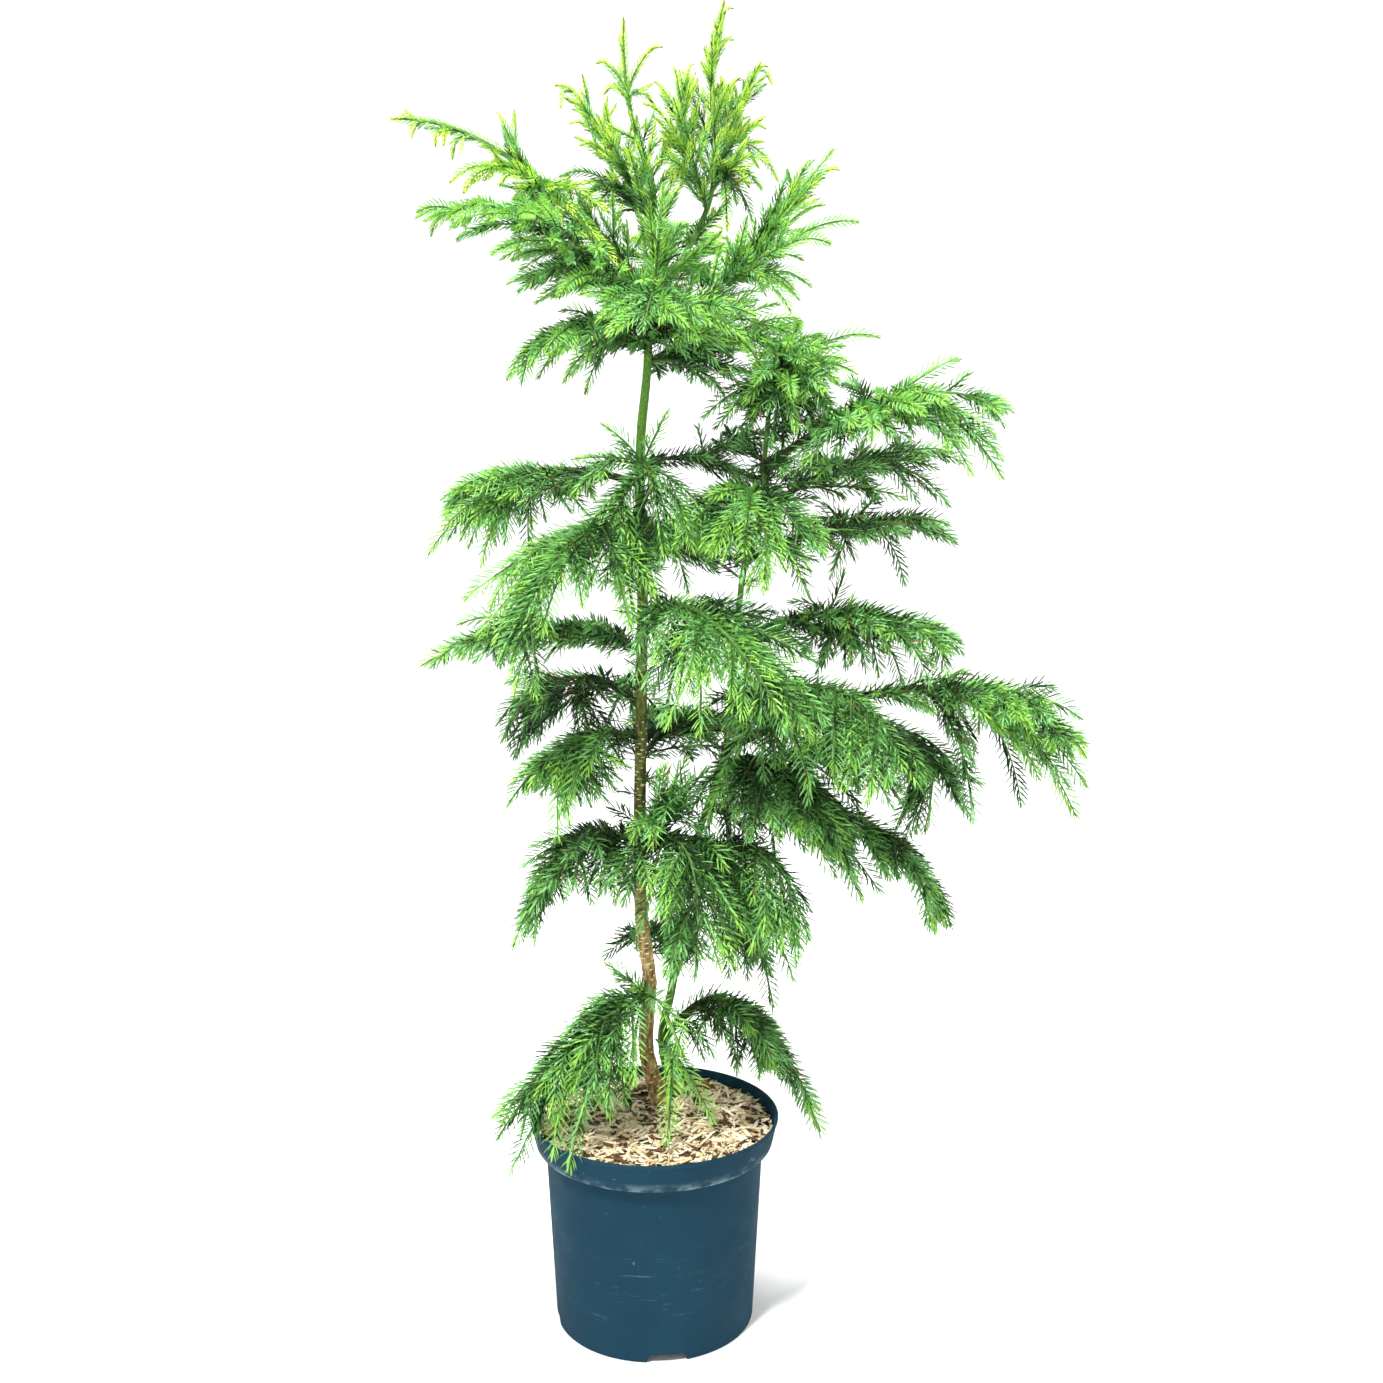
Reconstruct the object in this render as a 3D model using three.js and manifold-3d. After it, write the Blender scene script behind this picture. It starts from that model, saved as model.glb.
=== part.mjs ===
// A young sekkan cedar in a round nursery pot. Millimetres, +Z up, the origin at the centre of the pot's
// underside. Its front faces -Y, with +X to the right.
import * as THREE from "three";
import { mergeVertices } from "three/addons/utils/BufferGeometryUtils.js";
import Module from "manifold-3d";

const wasm = await Module();
wasm.setup();

// Fit between pieces
const GAP = 0.3; // between two pieces that meet
const CLEAR = 0.6; // least room between a twig and anything that isn't its own spray

// Pot: a 28 cm nursery container with a stepped collar
const POT_HEIGHT = 240.5;
const RIM_RADIUS = 142;
const FOOT_RADIUS = 114.5;
const COLLAR_HEIGHT = 33;
const COLLAR_FOOT_RADIUS = 134.5;
const SHOULDER_RADIUS = 124; // the wall just under the collar
const WALL = 2.3;
const FLOOR = 3;
const POT_FACETS = 32;
const DRAIN_COUNT = 4; // channels under the floor, each ending in a notch of the foot
const DRAIN_START = 42; // the flat middle of the underside has this radius
const DRAIN_WIDTH = 50;
const DRAIN_TOP_WIDTH = 36;
const DRAIN_HEIGHT = 9.5;
const DRAIN_TURN = 8; // degrees that the front channel is turned to the right
const DRAIN_HOLE_RADIUS = 5;
const DRAIN_HOLES_AT = [78];

// Soil and mulch
const SOIL_LEVEL = 230;
const SOIL_FALL = 3; // the surface dips this much at the wall
const CHIP_COUNT = 12;
const CHIP = { length: [12, 26], width: [4, 8], thickness: [2, 3.4] };

// Stems: their routes from the soil up, and how thick they are
const TRUNK_ROUTE = [
  [8, 45, SOIL_LEVEL], [-10, 40, 300], [-6, 30, 387], [-14, 22, 461], [-16, 15, 545], [-13, 5, 717],
  [-11, 0, 829], [-13, 0, 916], [-12, 0, 1002], [-5, 0, 1076], [-2, 0, 1149], [4, 5, 1211], [0, 5, 1274],
  [-13, 5, 1312], [-22, 5, 1342],
];
const TRUNK_RADIUS = { foot: 8.6, top: 2.2, flare: 5, flareHeight: 26 };
const SECOND_ROUTE = [
  [22, 67, SOIL_LEVEL], [8, 58, 305], [19, 60, 364], [24, 62, 401], [33, 65, 492], [52, 60, 557],
  [83, 45, 668], [99, 30, 849], [120, 20, 926], [122, 10, 980], [127, 0, 1044],
];
const SECOND_RADIUS = { foot: 5.3, top: 2.4, flare: 2.5, flareHeight: 16 };
const CO_ROUTE = [[0, 3, 1152], [20, 10, 1174], [37, 15, 1200], [60, 20, 1248], [69, 20, 1291]];
const CO_RADIUS = { foot: 3.8, top: 2.4, flare: 0, flareHeight: 1 };

// Boughs and twigs
const BOUGH_RADIUS = { least: 2, perLength: 0.009, left: 0.25 }; // left is the share that remains at the tip
const SPRAY_STEM_RADIUS = { foot: 4.4, tip: 3.4 }; // a leafy stem is as thick as its needles make it
const SPRAY_STEM_END = 0.72; // from here on the last blade carries on to the tip
const STEM_CLEAR = 15; // no twig leaves a spray's own stem nearer than this to what carries it
const BLADE = {
  thickness: 3, rootHalfWidth: 1.5, notch: 0.2, taper: 0.7, sweep: 1.2, lastTooth: 0.92, toothLength: 42,
  mostTeeth: 4,
};
// A twig that would touch something is made narrower, turned aside or made shorter before it is left out
const WIDTHS_TRIED = [1, 0.75, 0.5];
const TURNS_TRIED = [0, 40, -40];
const REACHES_TRIED = [1, 0.75, 0.55];
const NECK = 0.22; // the bare share at the foot of a long blade
const LONG_BLADE = 80;

// How the foliage grows: side twigs leave their stem by `spread` degrees, reach this far and hang by `weep`.
// They leave it up to the share `branched` of its leafy part, so that the tips of upright shoots are plain.
const HABITS = {
  shoot: {
    spacing: 60, spread: 38, reach: 62, weep: -0.15, branched: 0.66,
    halfWidth: 17, twoRanked: false, color: 0x9fd63c,
  },
  spray: {
    spacing: 85, spread: 48, reach: 112, weep: 0.25, branched: 0.88,
    halfWidth: 36, twoRanked: true, color: 0x5fb548,
  },
  weeping: {
    spacing: 90, spread: 46, reach: 112, weep: 0.7, branched: 0.88,
    halfWidth: 34, twoRanked: true, color: 0x4da34e,
  },
};
const GOLDEN_TURN = 137.5; // degrees from one side twig to the next round an upright shoot
const SEED = 2503;

// The sprays: the stem each grows on, the height where it leaves it, its middle, its tip, how it grows, and
// its forks, each given as how far along the leafy part it leaves and where it ends. `bough` is the bare
// share.
const SPRAYS = [
  { name: "leader", on: "trunk", leaves: 1338, arch: [-28, 5, 1390], tip: [-28, 5, 1436], habit: "shoot",
    forks: [[0.1, [-60, 10, 1390]], [0.05, [14, -5, 1404]], [0, [-52, 28, 1362]], [0, [5, 35, 1350]]] },
  { name: "left_top", on: "trunk", leaves: 1220, arch: [-54, 20, 1322], tip: [-104, 25, 1372],
    habit: "shoot", forks: [[0.05, [-98, -12, 1272]], [0.45, [-88, 20, 1332]], [0.3, [-76, 2, 1306]],
    [0.2, [-50, -35, 1315]], [0, [-80, 60, 1240]]] },
  { name: "pale_top", on: "co_leader", leaves: 1245, arch: [35, -15, 1320], tip: [25, -20, 1382],
    habit: "shoot", forks: [[0.7, [46, -15, 1385]], [0.2, [-8, -38, 1340]], [0.45, [50, 0, 1336]],
    [0, [5, -60, 1275]], [0.3, [50, 30, 1340]]] },
  { name: "co_leader_top", on: "co_leader", leaves: 1290, arch: [66, 25, 1398], tip: [88, 25, 1450],
    habit: "shoot", forks: [[0.55, [88, 25, 1418]], [0.35, [55, 20, 1412]], [0, [95, 50, 1345]],
    [0.1, [98, 22, 1378]]] },
  { name: "right_top", on: "co_leader", leaves: 1262, arch: [96, 55, 1355], tip: [126, 60, 1400],
    habit: "shoot", forks: [[0.2, [125, 60, 1335]], [0.25, [140, 95, 1285]], [0.5, [116, 36, 1376]],
    [0, [128, 30, 1292]]] },
  { name: "right_high", on: "trunk", leaves: 1120, arch: [85, -40, 1165], tip: [192, -50, 1298],
    habit: "shoot", bough: 0.4, forks: [[0.45, [144, -32, 1274]], [0.3, [180, -70, 1235]],
    [0, [210, -120, 1210]], [0.05, [180, -142, 1185]], [0, [170, -40, 1155]], [0.1, [115, -85, 1145]]] },
  { name: "right_ring", on: "trunk", leaves: 1085, arch: [65, 40, 1100], tip: [170, 70, 1135],
    habit: "spray", forks: [[0.12, [85, 90, 1040]], [0.5, [120, 90, 1160]]] },
  { name: "upper_left", on: "trunk", leaves: 1150, arch: [-120, -15, 1268], tip: [-272, -35, 1326],
    habit: "shoot", bough: 0.4, forks: [[0.17, [-162, -8, 1340]], [0.2, [-205, -60, 1256]],
    [0, [-90, -60, 1215]], [0.3, [-190, -65, 1245]], [0.08, [-150, 35, 1225]]] },
  { name: "left_high", on: "trunk", leaves: 1132, arch: [-110, -80, 1215], tip: [-225, -115, 1210],
    habit: "spray", forks: [[0.45, [-190, -130, 1190]], [0.25, [-155, -142, 1175]],
    [0.15, [-130, -130, 1140]], [0.05, [-140, -96, 1155]], [0, [-85, -25, 1180]],
    [0.35, [-150, -70, 1235]]] },
  { name: "left_ring", on: "trunk", leaves: 1100, arch: [-75, -40, 1115], tip: [-140, -60, 1080],
    habit: "spray", forks: [[0.4, [-120, -40, 1060]], [0.05, [-90, -72, 1055]], [0.1, [-70, -30, 1045]]] },
  { name: "front_ring", on: "trunk", leaves: 1090, arch: [5, -100, 1140], tip: [-5, -180, 1095],
    habit: "spray", forks: [[0.2, [-45, -150, 1125]], [0.3, [50, -150, 1100]], [0.1, [110, -110, 1120]],
    [0.05, [15, -70, 1260]], [0, [75, -45, 1120]]] },
  { name: "back_top", on: "trunk", leaves: 1128, arch: [15, 110, 1210], tip: [40, 180, 1255],
    habit: "spray", forks: [[0.3, [-65, 160, 1220]], [0.2, [110, 150, 1220]]] },
  { name: "right_crown", on: "second_stem", leaves: 1040, arch: [145, -10, 1080], tip: [165, -20, 1110],
    habit: "spray", forks: [[0.3, [70, -50, 1110]], [0.3, [250, 20, 1110]], [0.1, [215, -70, 1065]],
    [0.05, [145, -42, 1040]], [0.2, [170, 60, 1075]]] },
  { name: "right_far_up", on: "second_stem", leaves: 970, arch: [250, -50, 1040], tip: [370, -80, 1025],
    habit: "spray", bough: 0.3, forks: [[0.4, [370, -60, 956]], [0.3, [330, -100, 960]],
    [0.35, [330, -20, 1085]], [0.1, [205, 0, 1060]], [0, [220, -140, 995]], [0.12, [205, 35, 1060]],
    [0.05, [175, -100, 1000]], [0.25, [255, -25, 1025]]] },
  { name: "right_mid", on: "second_stem", leaves: 920, arch: [220, 80, 975], tip: [340, 120, 985],
    habit: "spray", bough: 0.35, forks: [[0.4, [325, 90, 935]], [0.25, [290, 130, 970]],
    [0.5, [335, 60, 925]], [0.1, [195, 50, 965]], [0.15, [255, 110, 930]]] },
  { name: "right_mid_low", on: "second_stem", leaves: 870, arch: [230, 30, 910], tip: [340, 30, 885],
    habit: "spray", bough: 0.35, forks: [[0.3, [285, 60, 835]], [0.1, [245, -20, 940]],
    [0.15, [220, -20, 895]], [0, [180, 55, 930]]] },
  { name: "front_right", on: "second_stem", leaves: 940, arch: [105, -90, 935], tip: [140, -140, 865],
    habit: "weeping", forks: [[0.3, [65, -120, 880]], [0.4, [95, -160, 880]], [0.1, [50, -60, 940]],
    [0.1, [55, -95, 940]]] },
  { name: "back_right", on: "trunk", leaves: 980, arch: [70, 90, 990], tip: [130, 150, 1015],
    habit: "spray", forks: [[0.5, [60, 120, 965]], [0.5, [45, 60, 1020]]] },
  { name: "mid_tuft", on: "trunk", leaves: 970, arch: [0, -50, 960], tip: [15, -80, 875], habit: "weeping",
    forks: [[0, [20, -30, 1035]], [0.05, [-55, -40, 1020]], [0.1, [-85, -60, 980]],
    [0.15, [40, -50, 835]]] },
  { name: "left_mid", on: "trunk", leaves: 955, arch: [-135, 35, 965], tip: [-240, 45, 915],
    habit: "spray", bough: 0.35, forks: [[0, [-245, -10, 875]], [0.25, [-235, 20, 935]],
    [0.05, [-135, 10, 870]], [0.1, [-195, 70, 960]], [0.12, [-160, -25, 900]]] },
  { name: "left_front", on: "trunk", leaves: 910, arch: [-90, -130, 885], tip: [-135, -185, 765],
    habit: "weeping", forks: [[0.35, [-195, -110, 835]], [0.3, [-105, -200, 805]], [0.1, [-15, -180, 810]],
    [0.2, [-175, -150, 800]]] },
  { name: "left_thin", on: "trunk", leaves: 770, arch: [-120, -40, 800], tip: [-250, -60, 760],
    habit: "spray", forks: [[0.5, [-210, -50, 805]], [0.55, [-190, -70, 765]], [0.3, [-115, -60, 765]]] },
  { name: "left_dark", on: "trunk", leaves: 710, arch: [-95, 70, 735], tip: [-175, 110, 685],
    habit: "weeping", bough: 0.35, forks: [[0.35, [-165, 100, 630]], [0.2, [-120, 60, 675]],
    [0.5, [-180, 120, 720]], [0.1, [-65, 85, 700]]] },
  { name: "front_fan", on: "trunk", leaves: 805, arch: [55, -150, 825], tip: [130, -230, 735],
    habit: "weeping", bough: 0.3, forks: [[0, [10, -190, 715]], [0.1, [50, -220, 710]],
    [0.35, [170, -180, 780]], [0.25, [180, -200, 720]]] },
  { name: "right_fan", on: "second_stem", leaves: 710, arch: [200, -90, 740], tip: [260, -150, 660],
    habit: "weeping", forks: [[0.2, [255, -110, 615]], [0.1, [215, -150, 640]], [0, [160, -190, 655]],
    [0, [125, -180, 675]], [0.1, [85, -125, 675]]] },
  { name: "right_level", on: "second_stem", leaves: 780, arch: [225, -20, 815], tip: [325, -60, 770],
    habit: "spray", bough: 0.3, forks: [[0, [210, 10, 865]], [0.2, [220, -20, 840]], [0.5, [295, -80, 740]],
    [0.35, [250, -72, 775]], [0.1, [235, -45, 790]], [0.3, [300, 0, 770]]] },
  { name: "right_far", on: "second_stem", leaves: 655, arch: [315, -10, 732], tip: [470, -50, 660],
    habit: "spray", bough: 0.4, forks: [[0.1, [355, 10, 745]], [0.45, [460, -70, 705]],
    [0.2, [480, 20, 575]], [0.3, [420, 40, 585]], [0, [360, 20, 570]], [0.3, [485, 0, 615]],
    [0.1, [330, 30, 695]], [0.2, [375, -35, 685]]] },
  { name: "right_strand", on: "second_stem", leaves: 595, arch: [285, 90, 670], tip: [320, 130, 530],
    habit: "weeping", forks: [[0.3, [390, 90, 600]], [0.2, [270, 150, 585]]] },
  { name: "back_upper", on: "trunk", leaves: 875, arch: [30, 130, 890], tip: [80, 220, 910],
    habit: "spray", forks: [[0.3, [-45, 180, 920]], [0.4, [-80, 150, 880]], [0.1, [55, 170, 865]]] },
  { name: "back_mid", on: "trunk", leaves: 650, arch: [30, 140, 675], tip: [80, 240, 645], habit: "spray",
    forks: [[0.3, [-45, 180, 640]], [0.3, [150, 200, 615]], [0.1, [55, 180, 665]]] },
  { name: "left_low", on: "trunk", leaves: 675, arch: [-90, -30, 675], tip: [-160, -50, 605],
    habit: "weeping", bough: 0.35, forks: [[0.05, [-100, -70, 570]], [0.1, [-45, -50, 610]],
    [0.4, [-120, 0, 615]], [0, [-30, -60, 655]]] },
  { name: "left_bottom", on: "trunk", leaves: 550, arch: [-95, 30, 545], tip: [-150, 50, 435],
    habit: "weeping", forks: [[0.3, [-155, 20, 520]], [0.2, [-125, 70, 475]], [0.05, [-65, 60, 480]],
    [0.1, [-80, -120, 570]], [0, [-40, -60, 505]], [0.05, [-45, -45, 545]]] },
  { name: "fan_high", on: "second_stem", leaves: 640, arch: [150, -80, 645], tip: [190, -120, 565],
    habit: "weeping", forks: [[0.2, [155, -140, 595]], [0.1, [100, -120, 590]], [0.4, [230, -60, 500]]] },
  { name: "fan_far", on: "second_stem", leaves: 580, arch: [245, 30, 570], tip: [340, 40, 440],
    habit: "weeping", forks: [[0.45, [315, 30, 520]], [0.2, [260, 10, 490]], [0.1, [225, 50, 520]]] },
  { name: "fan_low", on: "second_stem", leaves: 510, arch: [115, -60, 565], tip: [170, -90, 465],
    habit: "weeping", forks: [[0.5, [175, -60, 490]], [0.2, [155, -90, 420]], [0.1, [120, -120, 460]]] },
  { name: "fan_dark", on: "second_stem", leaves: 475, arch: [95, 100, 465], tip: [145, 130, 310],
    habit: "weeping", forks: [[0.4, [110, 90, 360]], [0.1, [80, 60, 395]]] },
  { name: "centre_hang", on: "trunk", leaves: 550, arch: [40, -100, 565], tip: [45, -140, 440],
    habit: "weeping", forks: [[0.2, [20, -120, 450]], [0.1, [75, -110, 440]], [0, [45, -120, 630]],
    [0, [15, -80, 665]], [0, [45, -125, 660]]] },
  { name: "bottom_back", on: "trunk", leaves: 415, arch: [-10, 130, 415], tip: [40, 220, 350],
    habit: "spray", forks: [[0.3, [-65, 120, 380]], [0.4, [-50, 170, 385]], [0.2, [105, 180, 400]]] },
  { name: "bottom_left", on: "trunk", leaves: 365, arch: [-55, -25, 360], tip: [-180, -70, 260],
    habit: "weeping", forks: [[0.45, [-180, -40, 220]], [0.3, [-160, -75, 195]], [0.25, [-90, -125, 220]],
    [0, [-30, -60, 280]], [0.05, [-70, -40, 285]]] },
  { name: "bottom_right", on: "second_stem", leaves: 300, arch: [100, 50, 350], tip: [200, 60, 180],
    habit: "weeping", bough: 0.3, forks: [[0.3, [165, 20, 245]], [0.15, [125, 90, 238]],
    [0.05, [70, 30, 305]], [0.1, [125, 45, 265]], [0.25, [160, 60, 265]]] },
  { name: "bottom_front", on: "second_stem", leaves: 295, arch: [20, -20, 305], tip: [15, -105, 240],
    habit: "weeping", forks: [[0.1, [70, -60, 247]], [0.05, [40, -30, 270]]] },
];

// Draws numbers from 0 to 1, the same ones for the same seed
function seeded(seed) {
  let state = seed >>> 0;
  return () => {
    state = (state + 0x6d2b79f5) >>> 0;
    let mixed = Math.imul(state ^ (state >>> 15), state | 1);
    mixed ^= mixed + Math.imul(mixed ^ (mixed >>> 7), mixed | 61);
    return ((mixed ^ (mixed >>> 14)) >>> 0) / 4294967296;
  };
}

const radians = THREE.MathUtils.degToRad;
const vector = (point) => new THREE.Vector3(...point);
const firstThat = (suits, makers) => {
  for (const make of makers) {
    const made = make();
    if (suits(made)) return made;
  }
  return undefined;
};
const between = ([low, high], share) => low + (high - low) * share;

// Solids

function solidFrom(geometry) {
  const bare = geometry.clone();
  bare.deleteAttribute("normal");
  bare.deleteAttribute("uv");
  const merged = mergeVertices(bare, 1e-4);
  return new wasm.Manifold(
    new wasm.Mesh({
      numProp: 3,
      vertProperties: merged.getAttribute("position").array,
      triVerts: new Uint32Array(merged.index.array),
    }),
  );
}

function geometryFrom(solid) {
  const mesh = solid.getMesh();
  const geometry = new THREE.BufferGeometry();
  geometry.setAttribute("position", new THREE.BufferAttribute(new Float32Array(mesh.vertProperties), 3));
  geometry.setIndex(new THREE.BufferAttribute(new Uint32Array(mesh.triVerts), 1));
  geometry.computeVertexNormals();
  return geometry;
}

function largestBody(solid) {
  const bodies = solid.decompose();
  return bodies.reduce((best, body) => (body.volume() > best.volume() ? body : best));
}

// A mesh whose own origin is at `foot`, from a solid given in the object's frame
function meshAt(name, solid, foot, material) {
  const geometry = geometryFrom(solid.translate([-foot.x, -foot.y, -foot.z]));
  const mesh = new THREE.Mesh(geometry, material);
  mesh.name = name;
  mesh.position.copy(foot);
  return mesh;
}

// Curves and limbs

const stemCurve = (route) => new THREE.CatmullRomCurve3(route.map(vector), false, "catmullrom", 0.5);

// The arc from `root` through `arch` at half way to `tip`
function archCurve(root, arch, tip) {
  const pull = arch.clone().multiplyScalar(2).addScaledVector(root, -0.5).addScaledVector(tip, -0.5);
  return new THREE.QuadraticBezierCurve3(root, pull, tip);
}

// Two directions square to the curve at `t`; the first stays as near `across` as it can
function frameAt(curve, t, across) {
  const tangent = curve.getTangent(t);
  const side = across.clone().addScaledVector(tangent, -across.dot(tangent)).normalize();
  const up = new THREE.Vector3().crossVectors(tangent, side);
  return { centre: curve.getPoint(t), tangent, side, up };
}

// A direction square to the whole of a flat arc, or level where the arc is straight
function acrossArc(curve) {
  const across = new THREE.Vector3().crossVectors(curve.getTangent(0), curve.getTangent(1));
  return across.length() > 0.05 ? across.normalize() : new THREE.Vector3(1, 0, 0);
}

// A tapering limb: a straight prism bent along the curve, its radius given at each point of the way
function limb(curve, { from = 0, to = 1, facets, steps, radiusAt, across }) {
  const outline = new THREE.Shape();
  for (let i = 0; i < facets; i++) {
    const turn = (2 * Math.PI * i) / facets;
    outline[i ? "lineTo" : "moveTo"](Math.cos(turn), Math.sin(turn));
  }
  const prism = new THREE.ExtrudeGeometry(outline, { depth: 1, steps, bevelEnabled: false });
  const corners = prism.getAttribute("position");
  for (let i = 0; i < corners.count; i++) {
    const t = from + (to - from) * corners.getZ(i);
    const { centre, side, up } = frameAt(curve, t, across);
    centre.addScaledVector(side, corners.getX(i) * radiusAt(t));
    centre.addScaledVector(up, corners.getY(i) * radiusAt(t));
    corners.setXYZ(i, centre.x, centre.y, centre.z);
  }
  return solidFrom(prism);
}

// The radius of an upright stem, with its root flare at the soil
const stemRadius = (curve, { foot, top, flare, flareHeight }) => (t) => {
  const height = curve.getPoint(t).z - curve.getPoint(0).z;
  return foot + (top - foot) * t + flare * Math.exp(-height / flareHeight);
};

// The share of the route at which a stem reaches a height, found by halving
function shareAtHeight(curve, height) {
  let [low, high] = [0, 1];
  for (let i = 0; i < 30; i++) {
    const middle = (low + high) / 2;
    if (curve.getPoint(middle).z < height) low = middle;
    else high = middle;
  }
  return (low + high) / 2;
}

function stem(route, radius, { facets, steps }) {
  const curve = stemCurve(route);
  const radiusAt = stemRadius(curve, radius);
  const across = new THREE.Vector3(1, 0, 0);
  return { curve, radiusAt, solid: limb(curve, { facets, steps, radiusAt, across }) };
}

// Cuts the foot of a limb that leaves a stem, along the stem and a gap clear of its bark
function clearOfStem(solid, curve, carrier, t) {
  const tangent = carrier.curve.getTangent(t);
  const out = curve.getPoint(0.3).sub(carrier.curve.getPoint(t));
  out.addScaledVector(tangent, -out.dot(tangent)).normalize();
  let distance = out.dot(carrier.curve.getPoint(t)) + carrier.radiusAt(t) + GAP;
  let cut = solid.trimByPlane(out.toArray(), distance);
  while (cut.minGap(carrier.solid, 2 * GAP) < GAP) {
    distance += GAP / 2;
    cut = solid.trimByPlane(out.toArray(), distance);
  }
  return cut;
}

const trunk = stem(TRUNK_ROUTE, TRUNK_RADIUS, { facets: 8, steps: 20 });
const secondStem = stem(SECOND_ROUTE, SECOND_RADIUS, { facets: 6, steps: 16 });
const coLeader = stem(CO_ROUTE, CO_RADIUS, { facets: 6, steps: 8 });
const coLeaves = shareAtHeight(trunk.curve, CO_ROUTE[0][2]);
coLeader.solid = clearOfStem(coLeader.solid, coLeader.curve, trunk, coLeaves);

// Both feet stand a gap above the soil, cut level
function cutLevel(solid) {
  const size = 2 * RIM_RADIUS;
  const block = new THREE.BoxGeometry(size, size, size);
  block.translate(0, 0, SOIL_LEVEL + GAP - size / 2);
  return solid.subtract(solidFrom(block));
}
trunk.solid = cutLevel(trunk.solid);
secondStem.solid = cutLevel(secondStem.solid);

const STEMS = { trunk, second_stem: secondStem, co_leader: coLeader };

// Twigs

// A twig that leaves `curve` at `t`: `turn` goes round the curve from its level side, `spread` is away
// from it
function sideTwig(curve, t, { turn, spread, reach, weep }) {
  const root = curve.getPoint(t);
  const tangent = curve.getTangent(t);
  const level = new THREE.Vector3(tangent.y, -tangent.x, 0);
  if (level.length() < 0.2) level.set(1, 0, 0);
  level.addScaledVector(tangent, -level.dot(tangent)).normalize();
  const up = new THREE.Vector3().crossVectors(level, tangent);
  const out = level.multiplyScalar(Math.cos(turn)).addScaledVector(up, Math.sin(turn));
  const heading = tangent.multiplyScalar(Math.cos(spread)).addScaledVector(out, Math.sin(spread));
  const pull = root.clone().addScaledVector(heading, reach / 2);
  const tip = root.clone().addScaledVector(heading, reach);
  tip.z -= weep * reach;
  return new THREE.QuadraticBezierCurve3(root, pull, tip);
}

// The side twigs of a stem, by turns to either side or round it, and shorter towards its tip, each with
// the other ways it may grow
function sideTwigs(curve, from, habit, draw) {
  const count = Math.round((curve.getLength() * (1 - from)) / habit.spacing);
  return Array.from({ length: count }, (_, k) => {
    const along = (k + 0.35 + 0.3 * draw()) / count;
    const wobble = radians(40) * (draw() - 0.5);
    const turn = habit.twoRanked ? (k % 2) * Math.PI + wobble : radians(GOLDEN_TURN) * k + wobble;
    const spread = radians(habit.spread) * (0.85 + 0.3 * draw());
    const reach = habit.reach * (1 - 0.55 * along) * (0.8 + 0.4 * draw());
    const t = from + (1 - from) * habit.branched * along;
    return REACHES_TRIED.flatMap((share) =>
      TURNS_TRIED.map((aside) =>
        sideTwig(curve, t, { turn: turn + radians(aside), spread, reach: share * reach, weep: habit.weep }),
      ),
    );
  });
}

// A fork leaves its stem between the stem's way and its own, then bows down to its given end
function forkTwig(curve, t, end, habit) {
  const root = curve.getPoint(t);
  const way = end.clone().sub(root);
  const length = way.length();
  const lead = habit.twoRanked ? 0.4 : 0.65;
  const pull = root
    .clone()
    .addScaledVector(curve.getTangent(t), (lead * length) / 2)
    .addScaledVector(way, (1 - lead) / 2);
  if (habit.twoRanked) pull.z += 0.12 * length;
  return new THREE.QuadraticBezierCurve3(root, pull, end);
}

// A spray of needles as one toothed blade: flat behind, a rib in front, its teeth pointing to the tip
function toothedBlade(curve, halfWidth, facing) {
  const length = curve.getLength();
  const neck = length > LONG_BLADE ? NECK : 0;
  const teeth = Math.min(BLADE.mostTeeth, Math.max(2, Math.round((length * (1 - neck)) / BLADE.toothLength)));
  const toViewer = new THREE.Vector3(Math.sin(facing), -Math.cos(facing), 0);
  const across = new THREE.Vector3().crossVectors(toViewer, curve.getTangent(0.5));
  if (across.length() < 0.2) across.set(Math.cos(facing), 0, Math.sin(facing));
  const points = [];
  const put = (t, sideways, upwards) => {
    const { centre, side, up } = frameAt(curve, t, across);
    points.push(centre.addScaledVector(side, sideways).addScaledVector(up, upwards));
    return points.length - 1;
  };
  const station = (t, width) => ({
    rib: put(t, 0, BLADE.thickness * 0.6),
    left: put(t, -width, -BLADE.thickness * 0.4),
    right: put(t, width, -BLADE.thickness * 0.4),
  });
  const stations = [station(0, BLADE.rootHalfWidth)];
  if (neck) stations.push(station(neck, 1.4 * BLADE.rootHalfWidth));
  const tipIndex = put(1, 0, 0);
  for (let k = 0; k < teeth; k++) {
    const t = Math.min(BLADE.lastTooth, neck + ((1 - neck) * (k + BLADE.sweep)) / teeth);
    const width = halfWidth * (1 - BLADE.taper * t ** 1.5) * (k ? 1 : 0.85);
    const below = stations[stations.length - 1];
    below.teeth = {
      left: put(t, -width, BLADE.thickness * -0.3),
      right: put(t, width, BLADE.thickness * -0.3),
    };
    const next = neck + ((1 - neck) * (k + 1)) / teeth;
    if (k < teeth - 1) stations.push(station(next, BLADE.notch * width + BLADE.rootHalfWidth));
  }
  const tip = { rib: tipIndex, left: tipIndex, right: tipIndex };
  const faces = [];
  const face = (...corners) => {
    if (new Set(corners).size === 3) faces.push(...corners);
  };
  stations.forEach((low, k) => {
    const high = stations[k + 1] ?? tip;
    const left = low.teeth?.left ?? high.left;
    const right = low.teeth?.right ?? high.right;
    face(low.rib, high.left, high.rib);
    face(low.rib, left, high.left);
    face(low.rib, low.left, left);
    face(low.rib, high.rib, high.right);
    face(low.rib, high.right, right);
    face(low.rib, right, low.right);
    face(low.left, high.right, high.left);
    face(low.left, low.right, high.right);
    face(low.left, high.left, left);
    face(low.right, right, high.right);
  });
  face(stations[0].rib, stations[0].right, stations[0].left);
  const geometry = new THREE.BufferGeometry().setFromPoints(points);
  geometry.setIndex(faces);
  return solidFrom(geometry);
}

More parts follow.
